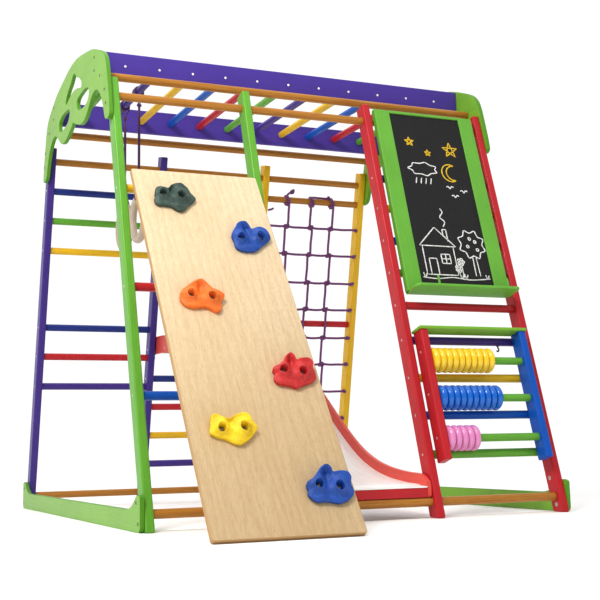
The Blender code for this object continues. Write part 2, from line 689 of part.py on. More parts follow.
abacus = link("abacus_frame", mesh_of("abacus_frame",
                                      abacus_rail(ABACUS_RAIL_X[0])), RED)
boolean(abacus, abacus_rail(ABACUS_RAIL_X[1]), "UNION")
boolean(abacus, slope_box(ABACUS_SHELF_X[0], ABACUS_SHELF_X[1], ABACUS_Z[1],
                          ABACUS_Z[1] + TRAY_T / F_UP.z, rail_in + 0.001,
                          rail_in + ABACUS_SHELF_REACH), "UNION")
rod_out = rail_in + POST_D / 2
for colour, z, count in ABACUS_ROWS:
    p0 = on_front(ABACUS_RAIL_X[0] + POST_W - RUNG_SINK, z * BAY, rod_out)
    p1 = on_front(ABACUS_RAIL_X[1] + RUNG_SINK, z * BAY, rod_out)
    boolean(abacus, rod_bm(p0, p1, ABACUS_ROD_R), "UNION")


def bead_row_bm(start, count, n=16):
    """Beads side by side on one rod, joined at their hubs, bored through."""
    bm = bmesh.new()
    profile = [(0.0, BEAD_BORE_R)]
    for i in range(count):
        x = i * BEAD_T
        profile += [(x + (0.0 if i == 0 else 0.0006), BEAD_R * 0.84),
                    (x + BEAD_T * 0.27, BEAD_R), (x + BEAD_T * 0.73, BEAD_R)]
    profile += [(count * BEAD_T, BEAD_R * 0.84),
                (count * BEAD_T, BEAD_BORE_R)]
    rings = []
    for x, r in profile:
        rings.append([bm.verts.new(
            start + X_AXIS * x + F_UP * (r * math.cos(2 * math.pi * i / n))
            + F_OUT * (r * math.sin(2 * math.pi * i / n))) for i in range(n)])
    m = len(rings)
    for k in range(m):
        lo, hi = rings[k], rings[(k + 1) % m]
        for i in range(n):
            j = (i + 1) % n
            bm.faces.new((lo[i], lo[j], hi[j], hi[i]))
    return bm


for colour, z, count in ABACUS_ROWS:
    start = on_front(ABACUS_RAIL_X[0] + POST_W + GAP, z * BAY, rod_out)
    name = "beads_" + colour
    mesh = mesh_of(name, bead_row_bm(start, count))
    mesh.shade_smooth()
    mesh.set_sharp_from_angle(angle=0.6)
    link(name, mesh, COLOURS[colour], origin=start)


# ----------------------------------------------------------------- rope net
# the net hangs just inside the ladder plane, clear of the rung behind it
R_IN = Vector((0, -1, REAR_LEAN)).normalized()
NET_IN = RUNG_R + NET_ROPE_R + 2 * GAP


def on_rear(x, z, inward=0.0):
    return at(x, rear_y(z), z) + R_IN * inward


x0, x1 = rung_ends(3)
net = None
for x in NET_COLUMNS:
    column = rod_bm(on_rear(x * BAY, NET_ROWS[-1] * BAY, NET_IN),
                    on_rear(x * BAY, NET_ROD_Z * BAY, NET_IN), NET_ROPE_R, 8)
    # tied round the rod with a loop of rope
    loop = prism_bm([circle(RUNG_R + 0.0092, 14), circle(RUNG_R + 0.0006, 14)],
                    on_rear(x * BAY - 0.0048, NET_ROD_Z * BAY),
                    Vector((0, 1, 0)), Vector((0, 0, 1)), X_AXIS, 0.0096)
    if net is None:
        net = link("rope_net", mesh_of("rope_net", column), ROPE)
        boolean(net, loop, "UNION")
        for z in NET_ROWS:
            boolean(net, rod_bm(on_rear(x0, z * BAY, NET_IN),
                                on_rear(x1, z * BAY, NET_IN), NET_ROPE_R, 8),
                    "UNION")
    else:
        boolean(net, column, "UNION")
        boolean(net, loop, "UNION")

# --------------------------------------------------------------------- rings
ring_x = BAR_FIRST + RING_BAR * BAR_PITCH
for k, y in enumerate(RING_Y):
    swing = pivot("ring_pivot_%d" % (k + 1), at(ring_x, y, BAR_Z))
    centre = at(ring_x, y, RING_Z)
    bm = bmesh.new()
    n, m = 28, 8
    verts = []
    for i in range(n):
        a = 2 * math.pi * i / n
        hub = centre + Vector((0, math.cos(a), math.sin(a))) * RING_R
        out = Vector((0, math.cos(a), math.sin(a)))
        verts.append([bm.verts.new(
            hub + out * (RING_TUBE_R * math.cos(2 * math.pi * j / m))
            + X_AXIS * (RING_TUBE_R * math.sin(2 * math.pi * j / m)))
            for j in range(m)])
    for i in range(n):
        for j in range(m):
            bm.faces.new((verts[i][j], verts[(i + 1) % n][j],
                          verts[(i + 1) % n][(j + 1) % m],
                          verts[i][(j + 1) % m]))
    mesh = mesh_of("ring_%d" % (k + 1), bm)
    mesh.shade_smooth()
    link("ring_%d" % (k + 1), mesh, BEECH, origin=at(ring_x, y, BAR_Z),
         parent=swing)

    # one closed rope round the bar and the ring, drawn in at its two knots
    bend = RUNG_R + ROPE_R + 0.0005
    drop = BAR_Z - (RING_Z + RING_R)
    points = []
    for i in range(9):
        a = math.pi * i / 8
        points.append((bend * math.cos(a), bend * math.sin(a)))
    side = [(bend * 0.93, 0.012), (bend * 0.55, 0.030),
            (ROPE_WAIST, 0.045), (ROPE_WAIST, drop * 0.35),
            (ROPE_WAIST, drop * 0.5), (ROPE_WAIST, drop * 0.65),
            (ROPE_WAIST, drop - 0.045), (bend * 0.55, drop - 0.030),
            (bend * 0.93, drop - 0.012)]
    points += [(-a, -b) for a, b in side]
    for i in range(9):
        a = math.pi + math.pi * i / 8
        points.append((bend * math.cos(a), -drop + bend * math.sin(a)))
    points += [(a, -b) for a, b in reversed(side)]
    route = spline(points, 1, closed=True)
    curve = bpy.data.curves.new("ring_rope_%d" % (k + 1), "CURVE")
    curve.dimensions = "3D"
    curve.bevel_depth = ROPE_R
    curve.bevel_resolution = 2
    curve.use_fill_caps = True
    s = curve.splines.new("POLY")
    s.points.add(len(route) - 1)
    for p, (a, b) in zip(s.points, route):
        p.co = (a, 0.0, b, 1.0)
    s.use_cyclic_u = True
    curve.materials.append(ROPE)
    obj = bpy.data.objects.new("ring_rope_%d" % (k + 1), curve)
    bpy.context.scene.collection.objects.link(obj)
    obj.parent = swing
    obj.location = (0, 0, 0)
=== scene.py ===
"""Looks of the children's indoor climbing gym: finishes, fittings and studio."""
import math

import bmesh
import bpy
from mathutils import Matrix, Vector, noise
from mathutils.geometry import tessellate_polygon


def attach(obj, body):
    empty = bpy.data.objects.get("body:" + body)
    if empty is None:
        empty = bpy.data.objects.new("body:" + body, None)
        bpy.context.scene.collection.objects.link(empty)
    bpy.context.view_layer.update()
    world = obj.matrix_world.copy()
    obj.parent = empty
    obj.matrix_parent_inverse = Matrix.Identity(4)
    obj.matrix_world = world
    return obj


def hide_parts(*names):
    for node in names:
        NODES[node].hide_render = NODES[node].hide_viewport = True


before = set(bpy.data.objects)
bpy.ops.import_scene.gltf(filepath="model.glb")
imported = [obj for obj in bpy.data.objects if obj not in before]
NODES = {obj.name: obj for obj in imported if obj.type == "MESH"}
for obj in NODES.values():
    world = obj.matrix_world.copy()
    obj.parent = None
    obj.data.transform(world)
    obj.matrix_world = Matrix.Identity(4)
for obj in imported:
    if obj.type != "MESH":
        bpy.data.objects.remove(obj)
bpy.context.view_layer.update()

# ------------------------------------------------------ the part's dimensions
BAY = 0.4225
SHIFT_Y = -0.55355
POST_W, POST_D = 0.025, 0.049
FRONT_LEAN, REAR_LEAN = 0.2966, -0.2249
REAR_FOOT_Y = 3.6269 * BAY
FRONT_TOP_Z, REAR_TOP_Z = 3.089 * BAY, 3.086 * BAY
RUNG_R = 0.0125
GAP = 0.0003
PLATE_T = 0.0125
PLATE_IN = POST_W / 2 + GAP
PLATE_OUT = PLATE_IN + PLATE_T
ARCH_MID_Y = 1.885 * BAY
BAR_FIRST, BAR_PITCH, BAR_Z = 0.1711 * BAY, 0.264 * BAY, 3.30 * BAY
BEAM_Y = (1.2136 * BAY, 2.6141 * BAY)
BEAM_T = 0.019
BEAM_Z0, BEAM_Z1 = 3.20 * BAY, 3.40 * BAY
BOTTOM_ROD_Z = 0.1063 * BAY
FRONT_TOP_ROD_Z, REAR_TOP_ROD_Z = 2.967 * BAY, 2.969 * BAY
ARCH_ROD_FRONT = (1.0375 * BAY, 3.158 * BAY)
ARCH_ROD_REAR = (2.789 * BAY, 3.172 * BAY)
X_AXIS = Vector((1, 0, 0))
Y_AXIS = Vector((0, 1, 0))
Z_AXIS = Vector((0, 0, 1))
F_UP = Vector((0, FRONT_LEAN, 1)).normalized()
F_OUT = Vector((0, -1, FRONT_LEAN)).normalized()
R_UP = Vector((0, REAR_LEAN, 1)).normalized()
R_IN = Vector((0, -1, REAR_LEAN)).normalized()
CLIMB_LEAN = 0.678
C_UP = Vector((0, CLIMB_LEAN, 1)).normalized()
C_OUT = Vector((0, -1, CLIMB_LEAN)).normalized()
CLIMB_FOOT_Y = -1.0795 * BAY
CLIMB_LEN = 2.852 * BAY
CLIMB_T = 0.015
CLIMB_X = (0.029 * BAY, 0.933 * BAY)


def at(x, y, z):
    return Vector((x - 1.5 * BAY, y + SHIFT_Y, z))


def front_y(z):
    return FRONT_LEAN * z


def rear_y(z):
    return REAR_FOOT_Y + REAR_LEAN * z


def on_front(x, z, out):
    return at(x, front_y(z), z) + F_OUT * out


def on_rear(x, z, inward=0.0):
    return at(x, rear_y(z), z) + R_IN * inward


# ------------------------------------------------------------------- camera
F_PX, CX, CY = 1163.3, 300.0, 245.0
YAW, PITCH, ROLL = (math.radians(a) for a in (23.956, 9.695, -1.172))
look = Vector((math.sin(YAW) * math.cos(PITCH), math.cos(YAW) * math.cos(PITCH),
               math.sin(PITCH)))
right = Vector((math.cos(YAW), -math.sin(YAW), 0.0))
upward = right.cross(look)
cam_data = bpy.data.cameras.new("camera")
cam_data.sensor_width = 36.0
cam_data.lens = F_PX * 36.0 / 600.0
cam_data.shift_x = (300.0 - CX) / 600.0
cam_data.shift_y = (CY - 300.0) / 600.0
cam_data.clip_end = 60.0
cam = bpy.data.objects.new("camera", cam_data)
bpy.context.scene.collection.objects.link(cam)
m = Matrix((right * math.cos(ROLL) + upward * math.sin(ROLL),
            upward * math.cos(ROLL) - right * math.sin(ROLL),
            -look)).transposed().to_4x4()
m.translation = at(-2.0389 * BAY, -6.9152 * BAY, 0.5070 * BAY)
cam.matrix_world = m
bpy.context.scene.camera = cam
bpy.context.scene.view_settings.view_transform = "Standard"
bpy.context.scene.view_settings.gamma = 0.88


# ---------------------------------------------------------------- materials
def srgb(r, g, b):
    return tuple((v / 255 / 12.92 if v <= 10 else ((v / 255 + 0.055) / 1.055)
                  ** 2.4) for v in (r, g, b)) + (1.0,)


class Mat:
    """A material and short ways to add nodes to it."""

    def __init__(self, name):
        self.m = bpy.data.materials.new(name)
        self.m.use_nodes = True
        self.t = self.m.node_tree
        self.b = self.t.nodes["Principled BSDF"]
        self.uv = None
        self.ob = None

    def node(self, kind, **sets):
        n = self.t.nodes.new(kind)
        for k, v in sets.items():
            setattr(n, k, v)
        return n

    def link(self, a, b):
        self.t.links.new(a, b)

    def put(self, socket, value):
        if isinstance(value, bpy.types.NodeSocket):
            self.link(value, socket)
        else:
            socket.default_value = value

    def along(self, su, sv):
        """Coordinates along the grain and across it, in cycles per metre."""
        if self.uv is None:
            self.uv = self.node("ShaderNodeUVMap", uv_map="grain").outputs[0]
        n = self.node("ShaderNodeMapping")
        self.link(self.uv, n.inputs["Vector"])
        n.inputs["Scale"].default_value = (su, sv, 1.0)
        return n.outputs[0]

    def space(self, s):
        if self.ob is None:
            self.ob = self.node("ShaderNodeTexCoord").outputs["Object"]
        n = self.node("ShaderNodeMapping")
        self.link(self.ob, n.inputs["Vector"])
        n.inputs["Scale"].default_value = (s, s, s)
        return n.outputs[0]

    def noise(self, vec, detail=4.0, rough=0.55, dist=0.0):
        n = self.node("ShaderNodeTexNoise")
        self.link(vec, n.inputs["Vector"])
        n.inputs["Scale"].default_value = 1.0
        n.inputs["Detail"].default_value = detail
        n.inputs["Roughness"].default_value = rough
        n.inputs["Distortion"].default_value = dist
        return n.outputs["Fac"]

    def ramp(self, fac, *stops):
        n = self.node("ShaderNodeValToRGB")
        self.link(fac, n.inputs[0])
        r = n.color_ramp
        r.elements[0].position, r.elements[0].color = stops[0]
        r.elements[1].position, r.elements[1].color = stops[-1]
        for p, c in stops[1:-1]:
            r.elements.new(p).color = c
        return n.outputs[0]

    def math(self, op, a, b=0.0):
        n = self.node("ShaderNodeMath", operation=op)
        self.put(n.inputs[0], a)
        self.put(n.inputs[1], b)
        return n.outputs[0]

    def mix(self, fac, a, b, how="MIX"):
        n = self.node("ShaderNodeMix", data_type="RGBA", blend_type=how)
        self.put(n.inputs["Factor"], fac)
        self.put(n.inputs[6], a)
        self.put(n.inputs[7], b)
        return n.outputs[2]

    def span(self, fac, lo, hi):
        n = self.node("ShaderNodeMapRange")
        self.link(fac, n.inputs["Value"])
        n.inputs["To Min"].default_value = lo
        n.inputs["To Max"].default_value = hi
        return n.outputs[0]

    def bump(self, *layers):
        """layers are (height socket, distance in metres)."""
        normal = None
        for h, d in layers:
            n = self.node("ShaderNodeBump")
            n.inputs["Strength"].default_value = 1.0
            n.inputs["Distance"].default_value = d
            self.link(h, n.inputs["Height"])
            if normal is not None:
                self.link(normal, n.inputs["Normal"])
            normal = n.outputs[0]
        self.link(normal, self.b.inputs["Normal"])

    def set(self, **vals):
        for k, v in vals.items():
            self.put(self.b.inputs[k.replace("_", " ")], v)


def scaled(c, k):
    return tuple(min(1.0, v * k) for v in c[:3]) + (1.0,)


def painted(name, rgb, rough=0.36, grain=0.8, coat=0.10):
    """Satin paint over planed beech: the grain still shows through it."""
    k = Mat(name)
    base = srgb(*rgb)
    tone = k.noise(k.space(7.0), 3.0)
    streak = k.noise(k.along(7.0, 210.0), 5.0, 0.62, 0.4)
    pores = k.noise(k.along(34.0, 900.0), 3.0, 0.7)
    peel = k.noise(k.space(420.0), 2.0)
    c = k.mix(k.span(tone, 0.0, 1.0), scaled(base, 0.86), scaled(base, 1.13))
    dark = k.ramp(streak, (0.30, (0.80, 0.80, 0.80, 1)), (0.62, (1, 1, 1, 1)))
    c = k.mix(0.75 * grain, c, dark, "MULTIPLY")
    dots = k.ramp(pores, (0.28, (0.72, 0.72, 0.72, 1)), (0.42, (1, 1, 1, 1)))
    c = k.mix(0.45 * grain, c, dots, "MULTIPLY")
    k.set(Base_Color=c, Roughness=k.span(streak, rough + 0.10, rough - 0.05))
    k.b.inputs["Coat Weight"].default_value = coat
    k.b.inputs["Coat Roughness"].default_value = 0.12
    k.b.inputs["Specular IOR Level"].default_value = 0.26
    k.bump((streak, 0.00045 * grain), (pores, 0.00018 * grain), (peel, 0.00010))
    return k.m


def lacquered(name, light, dark, rough=0.34):
    """Golden tinted lacquer over turned beech, grain lines along the rod."""
    k = Mat(name)
    a, b = srgb(*light), srgb(*dark)
    tone = k.noise(k.space(6.0), 3.0)
    streak = k.noise(k.along(5.0, 150.0), 6.0, 0.65, 0.6)
    fine = k.noise(k.along(40.0, 1100.0), 3.0, 0.7)
    c = k.mix(k.ramp(streak, (0.30, (0, 0, 0, 1)), (0.66, (1, 1, 1, 1))), b, a)
    c = k.mix(k.span(tone, 0.0, 0.5), c, scaled(b, 0.92))
    flecks = k.ramp(fine, (0.30, (0.62, 0.55, 0.5, 1)), (0.44, (1, 1, 1, 1)))
    c = k.mix(0.6, c, flecks, "MULTIPLY")
    k.set(Base_Color=c, Roughness=k.span(streak, rough + 0.1, rough - 0.04))
    k.b.inputs["Specular IOR Level"].default_value = 0.30
    k.b.inputs["Coat Weight"].default_value = 0.12
    k.b.inputs["Coat Roughness"].default_value = 0.15
    k.bump((streak, 0.0004), (fine, 0.00015))
    return k.m


def seed_of(name):
    return sum((i + 1) * ord(c) for i, c in enumerate(name)) % 997 / 31.0


BOARD_SHADE_START = seed_of("climbing_board_panel")
BOARD_SHADE_TILT = -0.55          # the painted shade's edge also slants across the board


def birch_face(name):
    """Clear-lacquered birch veneer: short fine grain, soft flame, flecks, and painted shade that
    darkens the board towards its foot.
    """
    k = Mat(name)
    light, mid, deep = srgb(231, 213, 182), srgb(220, 198, 161), srgb(180, 148, 109)
    drift = k.noise(k.along(1.3, 3.2), 3.0, 0.5, 0.8)
    flame = k.node("ShaderNodeTexWave", wave_type="BANDS", bands_direction="Y")
    k.link(k.along(2.1, 13.0), flame.inputs["Vector"])
    flame.inputs["Scale"].default_value = 1.0
    flame.inputs["Distortion"].default_value = 11.0
    flame.inputs["Detail"].default_value = 4.0
    flame.inputs["Detail Scale"].default_value = 1.2
    grain = k.noise(k.along(22.0, 260.0), 5.0, 0.62, 1.5)
    hair = k.noise(k.along(30.0, 640.0), 4.0, 0.68, 0.5)
    fleck = k.noise(k.along(80.0, 380.0), 3.0, 0.7, 0.5)
    ripple = k.noise(k.along(30.0, 22.0), 3.0, 0.55, 2.2)
    c = k.mix(k.ramp(drift, (0.30, (0, 0, 0, 1)), (0.72, (1, 1, 1, 1))), light, mid)
    c = k.mix(k.ramp(flame.outputs["Fac"], (0.30, (0, 0, 0, 1)),
                     (0.95, (0.13, 0.13, 0.13, 1))), c, deep)
    c = k.mix(k.ramp(grain, (0.34, (0.24, 0.24, 0.24, 1)), (0.56, (0, 0, 0, 1))),
              c, deep)
    c = k.mix(k.ramp(grain, (0.56, (0, 0, 0, 1)), (0.74, (0.18, 0.18, 0.18, 1))),
              c, srgb(242, 226, 196))
    c = k.mix(k.ramp(hair, (0.34, (0.34, 0.34, 0.34, 1)), (0.50, (0, 0, 0, 1))),
              c, deep)
    c = k.mix(k.ramp(ripple, (0.38, (0.08, 0.08, 0.08, 1)), (0.60, (0, 0, 0, 1))),
              c, deep)
    c = k.mix(k.ramp(fleck, (0.28, (0.5, 0.5, 0.5, 1)), (0.40, (0, 0, 0, 1))),
              c, scaled(deep, 0.85))
    # painted shade: the colour is multiplied darker towards the board's foot, slanting across it,
    # where less light reaches
    sep = k.node("ShaderNodeSeparateXYZ")
    k.link(k.along(1.0, 1.0), sep.inputs[0])
    painted_foot_shade = k.node("ShaderNodeMapRange", interpolation_type="SMOOTHSTEP")
    k.link(k.math("ADD", k.math("ADD", sep.outputs[0],
                                k.math("MULTIPLY", sep.outputs[1], BOARD_SHADE_TILT)),
                  k.math("MULTIPLY", drift, 0.35)), painted_foot_shade.inputs["Value"])
    painted_foot_shade.inputs["From Min"].default_value = BOARD_SHADE_START + 0.05
    painted_foot_shade.inputs["From Max"].default_value = BOARD_SHADE_START + 1.15
    painted_foot_shade.inputs["To Min"].default_value = 1.0
    painted_foot_shade.inputs["To Max"].default_value = 0.0
    c = k.mix(painted_foot_shade.outputs[0], c, (0.73, 0.665, 0.565, 1.0), "MULTIPLY")
    k.set(Base_Color=c, Roughness=k.span(grain, 0.56, 0.42))
    k.b.inputs["Specular IOR Level"].default_value = 0.3
    k.b.inputs["Coat Weight"].default_value = 0.08
    k.b.inputs["Coat Roughness"].default_value = 0.3
    k.bump((grain, 0.00010), (hair, 0.00014))
    return k.m


def ply_edge(name, plies=11.0, thick=0.015, tint=(196, 158, 108)):
    """Sanded plywood edge: alternate plies light and dark."""
    k = Mat(name)
    lay = k.node("ShaderNodeTexWave", wave_type="BANDS", bands_direction="Y",
                 wave_profile="SIN")
    k.link(k.along(9.0, plies / thick / 2.0), lay.inputs["Vector"])
    lay.inputs["Scale"].default_value = 0.318
    lay.inputs["Distortion"].default_value = 0.6
    lay.inputs["Detail"].default_value = 2.0
    fibre = k.noise(k.along(160.0, 900.0), 4.0, 0.7)
    tone = k.noise(k.along(5.0, 60.0), 3.0)
    c = k.mix(k.ramp(lay.outputs["Fac"], (0.38, (0, 0, 0, 1)),
                     (0.58, (1, 1, 1, 1))),
              scaled(srgb(*tint), 0.62), srgb(*tint))
    c = k.mix(k.span(fibre, 0.0, 0.7), c, scaled(srgb(*tint), 0.8))
    c = k.mix(k.span(tone, 0.0, 0.35), c, scaled(srgb(*tint), 1.15))
    k.set(Base_Color=c, Roughness=k.span(fibre, 0.7, 0.5))
    k.bump((fibre, 0.0003), (lay.outputs["Fac"], 0.0002))
    return k.m


def rope_mat(name, rgb, lay_len=0.016, strands=3.0, bold=1.0):
    """Twisted cord: strands wind round it, with fine fibres along them and painted shade in the
    grooves between the strands.
    """
    k = Mat(name)
    sep = k.node("ShaderNodeSeparateXYZ")
    k.link(k.along(1.0, 1.0), sep.inputs[0])
    phase = k.math("ADD", k.math("MULTIPLY", sep.outputs[0], 1.0 / lay_len),
                   k.math("MULTIPLY", sep.outputs[1], strands))
    wave = k.math("SINE", k.math("MULTIPLY", phase, 2 * math.pi))
    lobe = k.math("POWER", k.span(wave, 0.0, 1.0), 0.5)
    lobe = k.math("ABSOLUTE", k.math("SINE", k.math("MULTIPLY", phase, math.pi)))
    fibre = k.noise(k.along(500.0, 60.0), 3.0, 0.6)
    fuzz = k.noise(k.space(260.0), 3.0)
    base = srgb(*rgb)
    # painted shade: the grooves between the strands are darkened to about a third of the cord
    # colour
    c = k.mix(lobe, scaled(base, 0.35), base)
    c = k.mix(k.span(fibre, 0.0, 0.55), c, scaled(base, 1.45))
    c = k.mix(k.span(fuzz, 0.0, 0.4), c, scaled(base, 0.75))
    k.set(Base_Color=c, Roughness=k.span(fuzz, 0.62, 0.85))
    k.b.inputs["Sheen Weight"].default_value = 0.25
    k.b.inputs["Sheen Roughness"].default_value = 0.5
    k.bump((lobe, 0.0012 * bold), (fibre, 0.0003))
    return k.m


def resin(name, rgb, rough=0.50):
    """Cast resin with a sandy surface: painted highlight paler on the raised grains, painted shade
    darker where it dips.
    """
    k = Mat(name)
    base = srgb(*rgb)
    tone = k.noise(k.space(24.0), 5.0, 0.6, 0.5)
    sand = k.noise(k.space(620.0), 3.0, 0.65)
    pits = k.noise(k.space(230.0), 4.0, 0.65)
    c = k.mix(k.ramp(tone, (0.32, (0, 0, 0, 1)), (0.70, (1, 1, 1, 1))),
              scaled(base, 0.74), scaled(base, 1.22))
    c = k.mix(k.ramp(sand, (0.46, (0, 0, 0, 1)), (0.68, (0.42, 0.42, 0.42, 1))),
              c, scaled(base, 1.7))
    # painted highlight: the raised grains are made paler
    c = k.mix(k.ramp(pits, (0.56, (0, 0, 0, 1)), (0.74, (0.32, 0.32, 0.32, 1))),
              c, tuple(0.75 * v + 0.10 for v in scaled(base, 1.5)[:3]) + (1.0,))
    # painted shade: the dips are darkened
    c = k.mix(k.ramp(pits, (0.28, (0.6, 0.6, 0.6, 1)), (0.44, (0, 0, 0, 1))),
              c, scaled(base, 0.5))
    k.set(Base_Color=c, Roughness=k.span(pits, rough + 0.14, rough - 0.12))
    k.bump((tone, 0.0012), (pits, 0.0009), (sand, 0.0004))
    return k.m


def glossy(name, rgb, rough=0.18):
    """Moulded gloss plastic with faint sink marks and fine scratches."""
    k = Mat(name)
    base = srgb(*rgb)
    tone = k.noise(k.space(30.0), 3.0)
    fine = k.noise(k.space(700.0), 3.0, 0.7)
    c = k.mix(k.span(tone, 0.0, 1.0), scaled(base, 0.90), scaled(base, 1.10))
    c = k.mix(k.ramp(fine, (0.60, (0, 0, 0, 1)), (0.8, (0.25, 0.25, 0.25, 1))),
              c, scaled(base, 1.3))
    k.set(Base_Color=c, Roughness=k.span(fine, rough - 0.03, rough + 0.10))
    k.b.inputs["Coat Weight"].default_value = 0.5
    k.b.inputs["Coat Roughness"].default_value = 0.08
    k.bump((tone, 0.0006), (fine, 0.00005))
    return k.m


def slate(name):
    """Matt blackboard paint, with chalk dust rubbed into it."""
    k = Mat(name)
    wipe = k.noise(k.along(5.0, 17.0), 5.0, 0.6, 1.5)
    dust = k.noise(k.space(170.0), 5.0, 0.7)
    peel = k.noise(k.space(800.0), 2.0)
    c = k.mix(k.ramp(wipe, (0.44, (0, 0, 0, 1)), (0.78, (0.30, 0.30, 0.30, 1))),
              srgb(20, 18, 20), srgb(48, 46, 48))
    c = k.mix(k.ramp(dust, (0.56, (0, 0, 0, 1)), (0.76, (0.20, 0.20, 0.20, 1))),
              c, srgb(84, 82, 82))
    k.set(Base_Color=c, Roughness=k.span(wipe, 0.55, 0.80))
    k.bump((peel, 0.00012), (dust, 0.00008))
    return k.m


def chalk(name, rgb):
    """Chalk line: solid in the middle, broken grains of board between."""
    k = Mat(name)
    grain = k.noise(k.space(620.0), 4.0, 0.7)
    drag = k.noise(k.along(140.0, 900.0), 3.0, 0.7)
    both = k.math("ADD", k.math("MULTIPLY", grain, 0.6),
                  k.math("MULTIPLY", drag, 0.4))
    c = k.mix(k.ramp(both, (0.40, (0, 0, 0, 1)), (0.50, (1, 1, 1, 1))),
              srgb(44, 42, 44), srgb(*rgb))
    k.set(Base_Color=c, Roughness=k.span(grain, 0.95, 0.8))
    k.bump((both, 0.0002))
    return k.m


def laminate(name):
    """Slick white laminate with a faint orange peel and rubbed streaks."""
    k = Mat(name)
    rub = k.noise(k.along(3.0, 90.0), 4.0, 0.6)
    peel = k.noise(k.space(240.0), 2.0)
    c = k.mix(k.ramp(rub, (0.40, (0, 0, 0, 1)), (0.75, (1, 1, 1, 1))),
              srgb(250, 250, 249), srgb(241, 242, 243))
    k.set(Base_Color=c, Roughness=k.span(rub, 0.30, 0.46))
    k.b.inputs["Coat Weight"].default_value = 0.15
    k.bump((peel, 0.00006), (rub, 0.00004))
    return k.m


def steel(name, rgb, rough=0.32, metal=1.0):
    """Zinc-plated steel with a brushed, slightly stained surface."""
    k = Mat(name)
    base = srgb(*rgb)
    spin = k.noise(k.space(900.0), 3.0, 0.6)
    stain = k.noise(k.space(120.0), 4.0, 0.6)
    c = k.mix(k.span(stain, 0.0, 1.0), scaled(base, 0.7), scaled(base, 1.1))
    k.set(Base_Color=c, Metallic=metal, Roughness=k.span(spin, rough - 0.08,
                                                         rough + 0.14))
    k.bump((spin, 0.00006))
    return k.m


GREEN = painted("green_paint", (106, 170, 60))
GREEN_FRAME = painted("green_frame_paint", (110, 174, 66), grain=0.5)
GREEN_PLY = painted("green_ply_paint", (126, 178, 56), grain=0.5)
# darker copy of the plate paint for the plate edges: painted shade, on a rougher, grainier
# end-grain finish
GREEN_EDGE_SHADED = painted("green_ply_edge_painted_shade", (92, 152, 40), rough=0.45, grain=0.9)
RED = painted("red_paint", (190, 42, 50))
RED_PLY = painted("red_ply_paint", (224, 86, 74), grain=0.6)
PURPLE = painted("purple_paint", (72, 52, 136))
PURPLE_PLY = painted("purple_ply_paint", (84, 64, 158), grain=0.6)
BLUE = painted("blue_paint", (16, 90, 184))
NAVY = painted("navy_paint", (36, 54, 130))
YELLOW = painted("yellow_paint", (230, 186, 40))
GOLD = lacquered("golden_lacquer", (200, 142, 60), (156, 102, 36))
BIRCH = birch_face("birch_veneer")
BIRCH_EDGE = ply_edge("birch_ply_edge")
RING_WOOD = lacquered("pale_beech", (206, 192, 176), (176, 156, 136), 0.42)
ROPE = rope_mat("net_cord", (126, 66, 126))
RING_ROPE = rope_mat("ring_cord", (88, 46, 104), lay_len=0.010, bold=0.7)
SLATE = slate("blackboard_paint")
CHALK_WHITE = chalk("white_chalk", (240, 240, 238))
CHALK_YELLOW = chalk("yellow_chalk", (236, 196, 44))
LAMINATE = laminate("white_laminate_face")
# two copies of one zinc: the darker is painted shade for screws on the plates and deep in the hold
# sockets, the lighter is painted highlight for screws on the posts, slide and abacus
SCREW_SHADED = steel("zinc_screw_painted_shade", (136, 130, 120))
SCREW_LIT = steel("zinc_screw_painted_highlight", (226, 222, 214), 0.28, 0.75)
BLACK_STEEL = steel("black_hook", (16, 16, 18), 0.42, 0.4)
CAP = glossy("white_cap", (240, 240, 236), 0.3)
BEADS = {"yellow": glossy("yellow_bead", (242, 204, 44)),
         "blue": glossy("blue_bead", (0, 104, 200)),
         "pink": glossy("pink_bead", (222, 142, 192))}
RESIN = {"green": resin("grey_green_resin", (62, 82, 74)),
         "blue": resin("blue_resin_face", (28, 76, 158)),
         "orange": resin("orange_resin_face", (236, 118, 40)),
         "red": resin("red_resin_face", (192, 46, 46)),
         "yellow": resin("yellow_resin_face", (238, 196, 30))}


# ------------------------------------------------------------ mesh building
def finish_mesh(name, bm, mats, body, node=None, sharp=38.0, weighted=True,
                slot=None):
    bmesh.ops.recalc_face_normals(bm, faces=bm.faces)
    mesh = bpy.data.meshes.new(name)
    bm.to_mesh(mesh)
    bm.free()
    for mt in mats:
        mesh.materials.append(mt)
    mesh.shade_smooth()
    mesh.set_sharp_from_angle(angle=math.radians(sharp))
    obj = bpy.data.objects.new(name, mesh)
    bpy.context.scene.collection.objects.link(obj)
    if weighted:
        w = obj.modifiers.new("even_shading", "WEIGHTED_NORMAL")
        w.keep_sharp = True
        w.weight = 60
    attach(obj, body)
    if node:
        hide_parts(*([node] if isinstance(node, str) else node))
    return obj


def uv_quad(face, layer, uvs):
    for loop, (u, v) in zip(face.loops, uvs):
        loop[layer].uv = (u, v)


def round_rect(w, d, r, n=5):
    pts = []
    for cx, cy, a0 in ((w / 2 - r, d / 2 - r, 0), (-w / 2 + r, d / 2 - r, 90),
                       (-w / 2 + r, -d / 2 + r, 180), (w / 2 - r, -d / 2 + r, 270)):
        for i in range(n + 1):
            a = math.radians(a0 + 90 * i / n)
            pts.append((cx + r * math.cos(a), cy + r * math.sin(a)))
    return pts


def bridge(bm, layer, lo, hi, u0, u1, vs):
    n = len(lo)
    for i in range(n):
        j = (i + 1) % n
        f = bm.faces.new((lo[i], lo[j], hi[j], hi[i]))
        v0, v1 = vs[i], vs[i + 1]
        uv_quad(f, layer, ((u0, v0), (u0, v1), (u1, v1), (u1, v0)))


def cap(bm, layer, ring, pts, off):
    f = bm.faces.new(ring)
    uv_quad(f, layer, [(off + a * 0.2, b) for a, b in pts])


def perimeter(pts):
    out = [0.0]
    for i in range(len(pts)):
        a, b = pts[i], pts[(i + 1) % len(pts)]
        out.append(out[-1] + math.hypot(b[0] - a[0], b[1] - a[1]))
    return out


